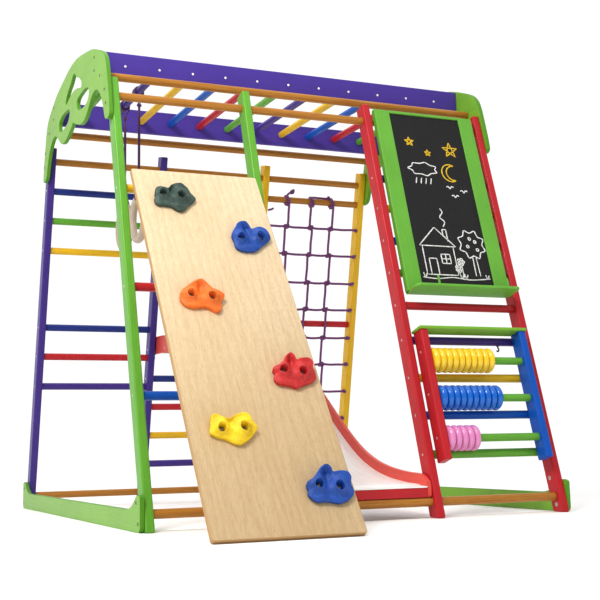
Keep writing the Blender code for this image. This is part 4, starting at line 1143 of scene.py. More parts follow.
def hold(colour, cx, cs, rim, sockets):
    """Cast grip: lobed outline, a hump round each bolt socket, a saddle
    between them and a low lip in front."""
    n, rings_n = 144, 44
    rim = [(a / 1000, b / 1000, max(c, 11.5) / 1000) for a, b, c in rim]
    sockets = [Vector(s) / 1000 for s in sockets]
    hub = Vector((sum(p[0] for p in rim) / len(rim),
                  sum(p[1] for p in rim) / len(rim)))
    fine = spline2(rim, 12, True)
    polar = sorted((math.atan2(p[1] - hub.y, p[0] - hub.x),
                    math.hypot(p[0] - hub.x, p[1] - hub.y), p[2]) for p in fine)

    def at_angle(a):
        lo = None
        for i in range(len(polar)):
            a0, a1 = polar[i - 1][0], polar[i][0]
            if i == 0:
                a0 -= 2 * math.pi
            if a0 <= a <= a1:
                t = (a - a0) / max(a1 - a0, 1e-9)
                return (polar[i - 1][1] * (1 - t) + polar[i][1] * t,
                        polar[i - 1][2] * (1 - t) + polar[i][2] * t)
        i0, i1 = polar[-1], polar[0]
        t = (a - i0[0]) / max(i1[0] + 2 * math.pi - i0[0], 1e-9)
        return (i0[1] * (1 - t) + i1[1] * t, i0[2] * (1 - t) + i1[2] * t)

    seed = seed_of(colour)
    mid = (sockets[0] + sockets[1]) / 2
    axis = (sockets[1] - sockets[0]).normalized()
    cross = Vector((-axis.y, axis.x))

    def height(p, rho, edge):
        d = [(p - s).length for s in sockets]
        q = p - mid
        a, b = q.dot(axis), q.dot(cross)
        h = 0.0195
        for k, s in enumerate(sockets):
            e = p - s
            ea, eb = e.dot(axis), e.dot(cross)
            up = eb if eb > 0 else eb * 1.7
            h += (0.0155 if k else 0.0140) * math.exp(
                -(ea / 0.0180) ** 2 - (up / 0.026) ** 2)
        h -= 0.0095 * math.exp(-(a / 0.0095) ** 2) * smooth(-0.014, 0.026, b)
        h -= 0.0055 * math.exp(-((b + 0.022) / 0.010) ** 2)
        h += 0.0035 * math.exp(-((b + 0.038) / 0.009) ** 2) * (1 - (a / 0.07) ** 2)
        h += 0.0022 * noise.noise(Vector((p.x * 42, p.y * 42, seed)))
        h += 0.0009 * noise.noise(Vector((p.x * 120, p.y * 120, seed + 3)))
        t = smooth(0.62, 1.0, rho)
        h = h * (1 - t) + edge * t
        for k, s in enumerate(sockets):
            r_out = 0.0112 if k else 0.0104
            h += 0.0022 * math.exp(-((d[k] - r_out - 0.0018) / 0.0020) ** 2)
            h -= 0.0190 * (1 - smooth(r_out - 0.0022, r_out + 0.0006, d[k]))
        return h

    c = climb_foot + X_AXIS * (cx * BAY - CLIMB_X[0]) + C_UP * (
        cs * BAY - CLIMB_T * CLIMB_LEAN) + C_OUT * GAP
    bm = bmesh.new()
    layer = bm.loops.layers.uv.new("grain")
    angles = [-math.pi + 2 * math.pi * i / n for i in range(n)]
    data = [at_angle(a) for a in angles]
    rings = []

    def ring(kr, hf):
        out = []
        for a, (r, e) in zip(angles, data):
            p = hub + Vector((math.cos(a), math.sin(a))) * (r * kr)
            wob = 1 + 0.012 * noise.noise(Vector((a * 3, hf(e) * 200, seed)))
            out.append(bm.verts.new(c + X_AXIS * p.x * wob + C_UP * p.y * wob
                                    + C_OUT * hf(e)))
        return out

    rings.append(ring(0.955, lambda e: 0.0))
    rings.append(ring(0.975, lambda e: e * 0.18))
    rings.append(ring(0.992, lambda e: e * 0.42))
    rings.append(ring(1.0, lambda e: e * 0.66))
    rings.append(ring(0.995, lambda e: e * 0.84))
    rings.append(ring(0.975, lambda e: e * 0.96))
    for k in range(1, rings_n + 1):
        rho = 0.945 * (1 - k / (rings_n + 1.0))
        out = []
        for a, (r, e) in zip(angles, data):
            p = hub + Vector((math.cos(a), math.sin(a))) * (r * rho)
            h = height(p, rho, e)
            out.append(bm.verts.new(c + X_AXIS * p.x + C_UP * p.y
                                    + C_OUT * max(h, 0.006)))
        rings.append(out)
    for lo, hi in zip(rings, rings[1:]):
        for i in range(n):
            j = (i + 1) % n
            bm.faces.new((lo[i], lo[j], hi[j], hi[i]))
    top = bm.verts.new(c + X_AXIS * hub.x + C_UP * hub.y
                       + C_OUT * height(hub, 0.0, 0.02))
    for i in range(n):
        bm.faces.new((rings[-1][i], rings[-1][(i + 1) % n], top))
    bm.faces.new(list(reversed(rings[0])))
    name = "hold_" + colour
    finish_mesh(name + "_grip", bm, [RESIN[colour.split("_")[0]]],
                "climbing_board", name, sharp=80.0, weighted=False,
                slot=colour.split("_")[0] + "_resin")

    def bolts(bm, layer):
        for s in sockets:
            p = c + X_AXIS * s.x + C_UP * s.y + C_OUT * 0.0152
            screw_bm(bm, layer, p, C_OUT, 0.0066, 0.0030)

    group(name + "_bolts", bolts, [SCREW_SHADED], "climbing_board", weighted=False)


for colour, (cx, cs, rim, sockets) in HOLD_SHAPES.items():
    hold(colour, cx, cs, rim, sockets)

# --------------------------------------------------------------------- slide
SLIDE_X = (1.035 * BAY, 1.965 * BAY)
SLIDE_TOP = ((0.010, 0.236), (0.100, 0.288), (0.300, 0.303), (0.550, 0.333),
             (0.800, 0.392), (1.050, 0.497), (1.350, 0.682), (1.700, 0.925),
             (2.050, 1.155), (2.400, 1.335), (2.750, 1.445), (3.050, 1.485),
             (3.375, 1.492))
SLIDE_RAIL_T = 0.012


def slide_offset(curve, drop):
    out = []
    for i, p in enumerate(curve):
        a, b = curve[max(i - 1, 0)], curve[min(i + 1, len(curve) - 1)]
        t = Vector((b[0] - a[0], b[1] - a[1])).normalized()
        out.append((p[0] + t.y * drop, p[1] - t.x * drop))
    return out


top_edge = [(y * BAY, z * BAY) for y, z in spline2(SLIDE_TOP, 6)]
sz = 1.376 * BAY
sy = rear_y(sz)
low_edge = [p for p in slide_offset(top_edge, 0.155 * BAY)
            if 0.30 * BAY < p[0] < sy - 0.045]
foot_z = BOTTOM_ROD_Z + RUNG_R + GAP
rear_z = low_edge[-1][1]
slot_arc = [(sy + HOOK_SLOT_R * math.cos(math.radians(a)),
             sz + HOOK_SLOT_R * math.sin(math.radians(a)))
            for a in range(0, 181, 12)]
rail = (top_edge[1:-1] + [(3.372 * BAY, 1.492 * BAY), (3.392 * BAY, 1.470 * BAY),
                          (3.392 * BAY, rear_z + 0.006), (3.378 * BAY, rear_z),
                          (sy + HOOK_SLOT_R, rear_z)] + slot_arc
        + [(sy - HOOK_SLOT_R, rear_z)] + list(reversed(low_edge))
        + [(0.150 * BAY, foot_z), (0.018 * BAY, foot_z),
           (0.006 * BAY, foot_z + 0.006), (0.006 * BAY, 0.215 * BAY),
           (0.020 * BAY, 0.246 * BAY)])
for side, x in (("left", SLIDE_X[0]), ("right", SLIDE_X[1] - SLIDE_RAIL_T)):
    plate("slide_rail_%s_board" % side, [rail], at(x, 0, 0), Y_AXIS, Z_AXIS, X_AXIS,
          SLIDE_RAIL_T, [RED_PLY], "slide", "slide_rail_" + side, "red_plywood",
          r=0.0016)
inner = (SLIDE_X[0] + SLIDE_RAIL_T + GAP, SLIDE_X[1] - SLIDE_RAIL_T - GAP)


def slide_sheet(bm, layer):
    path = [(0.012 * BAY, 0.2105 * BAY)] + [
        p for p in slide_offset(top_edge, 0.071 * BAY) if p[0] > 0.10 * BAY]
    under = slide_offset(path, 0.004)
    xs = [inner[0] + (inner[1] - inner[0]) * i / 12 for i in range(13)]
    up_rows = [[bm.verts.new(at(x, y, z)) for x in xs] for y, z in path]
    low_rows = [[bm.verts.new(at(x, y, z)) for x in xs] for y, z in under]
    s = perimeter(path)
    for rows in (up_rows, low_rows):
        for i in range(len(rows) - 1):
            for j in range(12):
                f = bm.faces.new((rows[i][j], rows[i][j + 1], rows[i + 1][j + 1],
                                  rows[i + 1][j]))
                uv_quad(f, layer, ((s[i], xs[j]), (s[i], xs[j + 1]),
                                   (s[i + 1], xs[j + 1]), (s[i + 1], xs[j])))
    for j in (0, 12):
        for i in range(len(path) - 1):
            bm.faces.new((up_rows[i][j], up_rows[i + 1][j], low_rows[i + 1][j],
                          low_rows[i][j]))
    for i in (0, len(path) - 1):
        for j in range(12):
            bm.faces.new((up_rows[i][j], low_rows[i][j], low_rows[i][j + 1],
                          up_rows[i][j + 1]))


group("slide_sheet_laminate", slide_sheet, [LAMINATE], "slide",
      node="slide_sheet", slot="white_laminate")
toe_top = 0.2105 * BAY - 0.004 - 3 * GAP
toe = [(0.0, foot_z), (inner[1] - inner[0], foot_z),
       (inner[1] - inner[0], toe_top), (0.0, toe_top)]
plate("slide_toe_board_wood", [toe], at(inner[0], 0.012 * BAY, 0), X_AXIS, Z_AXIS,
      Y_AXIS, 0.034 * BAY, [RED], "slide", "slide_toe_board", "red_plywood",
      r=0.0018)


def slide_screws(bm, layer):
    spots = [(0.030, 0.185), (3.30, 1.30)] + [
        (p[0] / BAY, p[1] / BAY) for p in slide_offset(top_edge, 0.113 * BAY)[9:66:8]]
    for y, z in spots:
        screw_bm(bm, layer, at(SLIDE_X[0], y * BAY, z * BAY), -X_AXIS, 0.004, 0.0010)
        screw_bm(bm, layer, at(SLIDE_X[1], y * BAY, z * BAY), X_AXIS, 0.004, 0.0010)


group("slide_screws", slide_screws, [SCREW_LIT], "slide", weighted=False)

# ---------------------------------------------------------------- chalkboard
CHALK_X = (2.053 * BAY, 2.930 * BAY)
CHALK_Z = (1.560 * BAY, 3.040 * BAY)
CHALK_BACK, CHALK_T = 0.0312 * BAY, 0.0205
STILE = (0.130 * BAY, 0.125 * BAY)
front_out = CHALK_BACK + CHALK_T
chalk0 = on_front(0, CHALK_Z[0], CHALK_BACK)
chalk_h = (CHALK_Z[1] - CHALK_Z[0]) / F_UP.z


def front_board(name, x0, x1, s0, s1, out0, thick, mats, node, slot, r=0.002,
                grain_v=True):
    """Board lying on the front ladders' plane; s is up the plane."""
    return plate(name, [[(x0, s0), (x1, s0), (x1, s1), (x0, s1)]],
                 chalk0 + F_OUT * out0, X_AXIS, F_UP, F_OUT, thick, mats, "frame",
                 node, slot, r=r, grain_v=grain_v)


front_board("chalkboard_stile_left", CHALK_X[0], CHALK_X[0] + STILE[0], 0, chalk_h,
            0, CHALK_T, [GREEN_FRAME], "chalkboard", "green_plywood", r=0.0026)
front_board("chalkboard_stile_right", CHALK_X[1] - STILE[1], CHALK_X[1], 0, chalk_h,
            0, CHALK_T, [GREEN_FRAME], "chalkboard", "green_plywood", r=0.0026)
front_board("chalkboard_panel", CHALK_X[0] + STILE[0] + 0.0002,
            CHALK_X[1] - STILE[1] - 0.0002, 0.002, chalk_h - 0.0102, 0.002,
            CHALK_T - 0.0060, [SLATE], "chalkboard", "green_plywood", r=0.0005)
front_board("chalkboard_top_strip", CHALK_X[0] + STILE[0] + 0.0002,
            CHALK_X[1] - STILE[1] - 0.0002, chalk_h - 0.0100, chalk_h, 0,
            CHALK_T, [GREEN_FRAME], "chalkboard", "green_plywood", r=0.002,
            grain_v=False)
TRAY_X = (2.060 * BAY, 2.937 * BAY)
TRAY_REACH, TRAY_T = 0.074, 0.009
tw = TRAY_X[1] - TRAY_X[0]
tray = [(0.0, 0.0), (tw, 0.0)]
for cx0, a0 in ((tw - 0.010, 0), (0.018, 90)):
    rr = 0.010 if a0 == 0 else 0.018
    for i in range(9):
        a = math.radians(a0 + 90 * i / 8)
        tray.append((cx0 + rr * math.cos(a), TRAY_REACH - rr + rr * math.sin(a)))
tray_top = CHALK_Z[0] + 0.004
plate("chalkboard_tray", [tray],
      on_front(TRAY_X[0], tray_top, CHALK_BACK) - F_UP * (TRAY_T / F_UP.z * F_UP.z),
      X_AXIS, F_OUT, F_UP, TRAY_T, [GREEN_FRAME], "frame", "chalkboard",
      "green_plywood", r=0.002)
for i, x in enumerate((2.262 * BAY, 2.850 * BAY)):
    p = on_front(x, tray_top + 0.0004, CHALK_BACK + TRAY_REACH - 0.010)
    rod("chalk_peg_%d" % (i + 1), p, p + F_UP * 0.030, 0.0038, GREEN, "frame",
        n=20, ease=0.001)


def strokes(items, radius):
    """Chalk lines on the panel; points are (across, up) from its corner."""
    face = CHALK_BACK + 0.002 + CHALK_T - 0.0060
    base = on_front(CHALK_X[0] + STILE[0], CHALK_Z[0], face)

    def build(bm, layer):
        for pts, closed in items:
            line = spline2(pts, 8, closed) if len(pts) > 2 else [
                tuple(a + (b - a) * t / 6 for a, b in zip(*pts)) for t in range(7)]
            m_ = len(line)
            left, right_, low_l, low_r = [], [], [], []
            for i in range(m_):
                a = line[(i - 1) % m_] if closed or i else line[0]
                b = line[(i + 1) % m_] if closed or i < m_ - 1 else line[-1]
                t = Vector((b[0] - a[0], b[1] - a[1]))
                t = t.normalized() if t.length > 1e-9 else Vector((1, 0))
                w = radius * (1 + 0.28 * noise.noise(Vector(
                    (line[i][0] * 160, line[i][1] * 160, 1.7))))
                if not closed and (i == 0 or i == m_ - 1):
                    w *= 0.55
                nx, ny = -t.y * w, t.x * w
                for out, s, up in ((left, 0.8, 0.0005), (right_, -0.8, 0.0005),
                                   (low_l, 1, 0.00005), (low_r, -1, 0.00005)):
                    out.append(bm.verts.new(
                        base + X_AXIS * (line[i][0] + nx * s)
                        + F_UP * (line[i][1] + ny * s) + F_OUT * up))
            run = 0.0
            for i in range(m_ if closed else m_ - 1):
                j = (i + 1) % m_
                d = math.hypot(line[j][0] - line[i][0], line[j][1] - line[i][1])
                for a, b in ((left, right_), (right_, low_r), (low_r, low_l),
                             (low_l, left)):
                    f = bm.faces.new((a[i], b[i], b[j], a[j]))
                    uv_quad(f, layer, ((run, radius), (run, 0), (run + d, 0),
                                       (run + d, radius)))
                run += d
            if not closed:
                bm.faces.new((left[0], low_l[0], low_r[0], right_[0]))
                bm.faces.new((left[-1], right_[-1], low_r[-1], low_l[-1]))

    return build


def circle2(cx, cy, r, n=10, squash=1.0):
    return [(cx + r * math.cos(2 * math.pi * i / n),
             cy + r * squash * math.sin(2 * math.pi * i / n)) for i in range(n)]


def star(cx, cy, r):
    pts = [(cx + r * math.sin(4 * math.pi * i / 5), cy + r * math.cos(4 * math.pi * i / 5))
           for i in range(5)]
    return [((pts[i], pts[(i + 1) % 5]), False) for i in range(5)]


white = []
# a small house with a pitched roof, a door, a window and smoke
hx, hy, hw, hh = 0.028, 0.060, 0.112, 0.100
for a, b in (((hx, hy), (hx + hw, hy)), ((hx + hw, hy), (hx + hw, hy + hh)),
             ((hx, hy), (hx, hy + hh)), ((hx - 0.010, hy + hh), (hx + hw + 0.010, hy + hh)),
             ((hx - 0.010, hy + hh), (hx + hw / 2, hy + hh + 0.066)),
             ((hx + hw / 2, hy + hh + 0.066), (hx + hw + 0.010, hy + hh)),
             ((hx + 0.016, hy), (hx + 0.016, hy + 0.056)),
             ((hx + 0.016, hy + 0.056), (hx + 0.044, hy + 0.056)),
             ((hx + 0.044, hy + 0.056), (hx + 0.044, hy)),
             ((hx + 0.062, hy + 0.040), (hx + 0.094, hy + 0.040)),
             ((hx + 0.062, hy + 0.072), (hx + 0.094, hy + 0.072)),
             ((hx + 0.062, hy + 0.040), (hx + 0.062, hy + 0.072)),
             ((hx + 0.094, hy + 0.040), (hx + 0.094, hy + 0.072)),
             ((hx + 0.078, hy + 0.040), (hx + 0.078, hy + 0.072)),
             ((hx + 0.062, hy + 0.056), (hx + 0.094, hy + 0.056)),
             ((hx + 0.084, hy + 0.134), (hx + 0.084, hy + 0.160)),
             ((hx + 0.084, hy + 0.160), (hx + 0.098, hy + 0.160)),
             ((hx + 0.098, hy + 0.160), (hx + 0.098, hy + 0.118))):
    white.append(((a, b), False))
white.append((((hx + 0.091, hy + 0.170), (hx + 0.100, hy + 0.188),
               (hx + 0.086, hy + 0.204), (hx + 0.098, hy + 0.222),
               (hx + 0.092, hy + 0.236)), False))
# a tree with a scalloped crown
tx, ty_ = 0.212, 0.060
white.append((((tx - 0.007, ty_), (tx - 0.006, ty_ + 0.070)), False))
white.append((((tx + 0.009, ty_), (tx + 0.006, ty_ + 0.070)), False))
crown = []
for i in range(16):
    a = 2 * math.pi * i / 16
    r = 0.043 + (0.007 if i % 2 else -0.004)
    crown.append((tx + r * math.cos(a), ty_ + 0.112 + r * 1.05 * math.sin(a)))
white.append((crown, True))
for cx_, cy_ in ((-0.016, 0.104), (0.014, 0.122), (-0.004, 0.132), (0.018, 0.094)):
    white.append((circle2(tx + cx_, ty_ + cy_, 0.0045, 7), True))
# grass, flowers and a winding path
white.append((((0.010, 0.050), (0.060, 0.046), (0.120, 0.052), (0.180, 0.046),
               (0.255, 0.052)), False))
for gx in (0.018, 0.150, 0.166, 0.244):
    white.append((((gx, 0.050), (gx - 0.004, 0.066)), False))
    white.append((((gx + 0.003, 0.050), (gx + 0.008, 0.064)), False))
for fx, fy in ((0.158, 0.108), (0.146, 0.084)):
    for i in range(5):
        a = 2 * math.pi * i / 5
        white.append((circle2(fx + 0.0085 * math.cos(a), fy + 0.0085 * math.sin(a),
                              0.0042, 7), True))
    white.append((((fx, fy - 0.012), (fx + 0.002, 0.052)), False))
# a cloud and rain
cl = []
for i in range(14):
    a = 2 * math.pi * i / 14
    r = 1 + (0.14 if i % 2 else -0.08)
    cl.append((0.088 + 0.048 * r * math.cos(a), 0.440 + 0.022 * r * math.sin(a)))
white.append((cl, True))
for i in range(4):
    white.append((((0.058 + 0.018 * i, 0.406), (0.052 + 0.018 * i, 0.384)), False))
# birds
for bx, by in ((0.190, 0.340), (0.226, 0.360), (0.176, 0.372)):
    white.append((((bx - 0.013, by + 0.006), (bx - 0.006, by + 0.009), (bx, by)), False))
    white.append((((bx, by), (bx + 0.007, by + 0.009), (bx + 0.014, by + 0.006)), False))
yellow = []
yellow += star(0.206, 0.520, 0.030)
yellow += star(0.056, 0.540, 0.018)
yellow += star(0.118, 0.502, 0.013)
moon = [(0.190 + 0.032 * math.cos(math.radians(a)), 0.432 + 0.032 * math.sin(math.radians(a)))
        for a in range(60, 301, 24)]
yellow.append((moon, False))
inner_moon = [(0.202 + 0.027 * math.cos(math.radians(a)), 0.432 + 0.027 * math.sin(math.radians(a)))
              for a in range(84, 277, 24)]
yellow.append((inner_moon, False))
group("chalk_drawing_white", strokes(white, 0.0021), [CHALK_WHITE], "frame",
      weighted=False)
group("chalk_drawing_yellow", strokes(yellow, 0.0023), [CHALK_YELLOW], "frame",
      weighted=False)

# -------------------------------------------------------------------- abacus
RAIL_X = (2.053 * BAY, 2.876 * BAY)
ABACUS_Z = (0.346 * BAY, 1.250 * BAY)
SHELF_X = (2.044 * BAY, 2.945 * BAY)
rail_in = 0.0312 * BAY
for i, (x, mt, sl) in enumerate(((RAIL_X[0], RED, "red_wood"),
                                 (RAIL_X[1], BLUE, "blue_wood"))):
    low = on_front(x + POST_W / 2, ABACUS_Z[0], rail_in + POST_D / 2)
    high = on_front(x + POST_W / 2, ABACUS_Z[1], rail_in + POST_D / 2)
    length = (high - low).length
    bm = bmesh.new()
    layer = bm.loops.layers.uv.new("grain")
    rings = []
    ease = 0.003
    full = round_rect(POST_W, POST_D, 0.0048)
    small = round_rect(POST_W - 0.005, POST_D - 0.005, 0.003)
    vs = perimeter(full)
    for s, sec in ([(0.0, small), (ease * 0.3, round_rect(POST_W - 0.002, POST_D - 0.002, 0.004)),
                    (ease, full)]
                   + [(length * k / 6, full) for k in range(1, 6)]
                   + [(length - 0.0003, full)]):
        rings.append(([bm.verts.new(low + X_AXIS * a + F_OUT * b + F_UP * s)
                       for a, b in sec], s))
    for (lo, s0), (hi, s1) in zip(rings, rings[1:]):
        bridge(bm, layer, lo, hi, s0 + i, s1 + i, vs)
    cap(bm, layer, list(reversed(rings[0][0])), list(reversed(full)), 0)
    cap(bm, layer, rings[-1][0], full, 0)
    finish_mesh("abacus_rail_%d" % (i + 1), bm, [mt], "frame", "abacus_frame",
                slot=sl)
shelf_origin = on_front(SHELF_X[0], ABACUS_Z[1], rail_in)
sw = SHELF_X[1] - SHELF_X[0]
shelf = [(0.0, 0.001), (sw, 0.001), (sw, 0.050), (sw - 0.004, 0.054),
         (0.004, 0.054), (0.0, 0.050)]
plate("abacus_shelf", [shelf], shelf_origin, X_AXIS, F_OUT, F_UP, 0.009,
      [GREEN_PLY], "frame", "abacus_frame", "green_plywood", r=0.002)
rod_out = rail_in + POST_D / 2
BEAD_R, BEAD_T, BORE_R, ROD_R = 0.0375, 0.0211, 0.0121, 0.0115


def bead(name, start, colour):
    """Round-edged bead, bored through, with an eased bore."""
    bm = bmesh.new()
    layer = bm.loops.layers.uv.new("grain")
    t = BEAD_T - 0.0003
    profile = [(0.0014, BORE_R), (0.0005, BORE_R + 0.0010), (0.0003, BORE_R + 0.003)]
    for i in range(0, 13):
        a = math.pi * i / 12
        profile.append((t / 2 - (t / 2 - 0.0003) * math.cos(a),
                        BEAD_R - 0.0118 + 0.0118 * math.sin(a) ** 0.72))
    profile += [(t - 0.0003, BORE_R + 0.003), (t - 0.0005, BORE_R + 0.0010),
                (t - 0.0014, BORE_R), (0.0014, BORE_R)]
    lathe_bm(bm, layer, profile, start, X_AXIS, 64)
    bmesh.ops.remove_doubles(bm, verts=bm.verts, dist=1e-6)
    return finish_mesh(name, bm, [BEADS[colour]], "beads_" + colour,
                       "beads_" + colour, sharp=50.0, weighted=False,
                       slot=colour + "_wood")


for colour, z, count in (("yellow", 1.043, 10), ("blue", 0.776, 10),
                         ("pink", 0.498, 5)):
    p0 = on_front(RAIL_X[0] + POST_W, z * BAY, rod_out)
    p1 = on_front(RAIL_X[1], z * BAY, rod_out)
    rod("abacus_rod_" + colour, p0, p1, ROD_R, GREEN, "frame", "abacus_frame",
        "green_wood", sink=0.002)
    for i in range(count):
        bead("bead_%s_%02d" % (colour, i + 1),
             p0 + X_AXIS * (GAP + i * BEAD_T), colour)


def abacus_screws(bm, layer):
    for z in (1.10, 0.80, 0.50):
        for x, s in ((RAIL_X[0], -1), (RAIL_X[1] + POST_W, 1)):
            screw_bm(bm, layer, on_front(x, z * BAY, rod_out), X_AXIS * s, 0.0038,
                     0.0008)


group("abacus_screws", abacus_screws, [SCREW_LIT], "frame", weighted=False)

# a small hook under the purple rung
hook_c = at(2.775 * BAY, front_y(1.218 * BAY), 1.218 * BAY - RUNG_R)
hook_pts = [hook_c + Vector((0, 0, 0.002)), hook_c - Vector((0, 0, 0.006))]
for i in range(0, 15):
    a = math.radians(90 + 18 * i)
    hook_pts.append(hook_c + Vector((0, 0.0055 * math.cos(a) - 0.0,
                                     -0.0115 + 0.0055 * math.sin(a))))
group("rung_hook", lambda bm, layer: (
    tube_bm(bm, layer, hook_pts, 0.0021, 10),
    lathe_bm(bm, layer, [(0.0, 0.0), (0.0, 0.005), (0.0012, 0.0048), (0.0016, 0.0)],
             hook_c, -Z_AXIS, 20)), [BLACK_STEEL], "frame", weighted=False)

# ----------------------------------------------------------------- rope net
NET_R = 0.0046
NET_IN = RUNG_R + 0.0048 + 2 * GAP
NET_ROWS = (2.545, 2.295, 2.035, 1.785, 1.520, 1.270, 1.013, 0.760)
NET_COLUMNS = (2.236, 2.488, 2.697)
NET_TOP = 2.786


def wob(a, b, seed):
    return 0.0016 * noise.noise(Vector((a * 9.0, b * 9.0, seed)))


def knot(bm, layer, c, along, across, r, seed):
    """Cord wrapped twice round a crossing, drawn tight."""
    out = along.cross(across).normalized()
    pts = []
    turns = 2.1
    for i in range(37):
        t = i / 36
        a = 2 * math.pi * turns * t + seed
        lean = (t - 0.5) * 0.0120
        pts.append(c + (across + along * 0.35).normalized() * lean
                   + along * (0.0070 * math.cos(a))
                   + out * (0.0068 * math.sin(a)))
    tube_bm(bm, layer, pts, r * 0.78, 8, off=seed)


def step_of(z, j):
    """Sideways step of an upright: it changes side at every knot."""
    x = -0.0052 * (1 if j % 2 else -1)
    for c in NET_ROWS:
        x = x if z > c + 0.022 else (-x if z < c - 0.022 else
                                     x * math.sin(math.pi / 2 * (z - c) / 0.022))
        if z > c - 0.022:
            break
    return x


def net(bm, layer):
    x0, x1 = 2 * BAY + POST_W / 2, 3 * BAY - POST_W / 2
    for i, z in enumerate(NET_ROWS):
        pts = []
        for k in range(41):
            t = k / 40
            x = x0 + (x1 - x0) * t
            dip = sum(0.0022 * math.exp(-((x / BAY - c) / 0.05) ** 2)
                      for c in NET_COLUMNS)
            pts.append(on_rear(x, z * BAY - 0.0028 * math.sin(math.pi * t) + dip
                               + wob(t, i, 2.0), NET_IN + wob(t, i, 5.0)))
        tube_bm(bm, layer, pts, NET_R, 12, off=i * 0.37)
    for j, x in enumerate(NET_COLUMNS):
        pts = []
        for k in range(161):
            t = k / 160
            z = NET_ROWS[-1] + (NET_TOP - NET_ROWS[-1]) * t
            pull = step_of(z, j)
            pts.append(on_rear(x * BAY + pull + wob(z, j, 9.0), z * BAY,
                               NET_IN + 0.0004 + wob(z, j, 12.0)))
        tube_bm(bm, layer, pts, NET_R, 12, off=j * 0.61)
        for i, z in enumerate(NET_ROWS):
            for pull in (-0.0042, 0.0042):
                knot(bm, layer, on_rear(x * BAY + pull, z * BAY, NET_IN),
                     R_UP, X_AXIS, NET_R * 0.8, i * 1.3 + j + pull * 300)
        # two turns round the rod, then a half hitch and a loose tail
        hub = on_rear(x * BAY, NET_TOP * BAY)
        pts = []
        for k in range(61):
            t = k / 60
            a = -math.pi / 2 + 4 * math.pi * t
            pts.append(hub + X_AXIS * (-0.0048 + 0.0098 * t)
                       + Vector((0, -math.cos(a + math.pi / 2), 0)) * (RUNG_R + 0.0046)
                       + Vector((0, 0, math.sin(a + math.pi / 2))) * (RUNG_R + 0.0046))
        tube_bm(bm, layer, pts, 0.0043, 12, off=j * 0.2)
        knot(bm, layer, hub + R_IN * (RUNG_R + 0.002) - R_UP * (RUNG_R + 0.004),
             X_AXIS, R_UP, NET_R, j * 2.0)
    for j, (x, pts) in enumerate((
            (NET_COLUMNS[0], ((0, 0, .016), (.004, .002, .020), (.012, .003, .028),
                              (.022, .002, .034), (.030, 0, .036))),
            (NET_COLUMNS[1], ((.004, 0, .0172), (.014, -.002, .0176),
                              (.030, -.001, .0174), (.050, .001, .0176),
                              (.070, 0, .0172), (.080, -.002, .0174))))):
        hub = on_rear(x * BAY, NET_TOP * BAY)
        line = spline2([tuple(hub + Vector(p)) for p in pts], 6)
        tube_bm(bm, layer, line, 0.0042, 12, off=3.0 + j)
        knot(bm, layer, Vector(line[-1]) - X_AXIS * 0.003, Z_AXIS, X_AXIS, 0.0040,
             j + 0.5)
    tail = [on_rear(2 * BAY + POST_W / 2 + a, 2.690 * BAY + b, NET_IN + c)
            for a, b, c in ((0.004, -0.004, 0.0), (0.009, -0.001, 0.003),
                            (0.016, 0.001, 0.006), (0.023, 0.006, 0.007))]
    tube_bm(bm, layer, spline2([tuple(p) for p in tail], 6), 0.0040, 12, off=7.0)
    # rows are knotted round the yellow posts
    for i, z in enumerate(NET_ROWS):
        for x in (2 * BAY + POST_W / 2 + 0.003, 3 * BAY - POST_W / 2 - 0.003):
            knot(bm, layer, on_rear(x, z * BAY, NET_IN), X_AXIS, R_UP,
                 NET_R * 0.9, i * 0.9)


group("rope_net_cords", net, [ROPE], "frame", node="rope_net",
      slot="purple_rope", weighted=False, sharp=80.0)

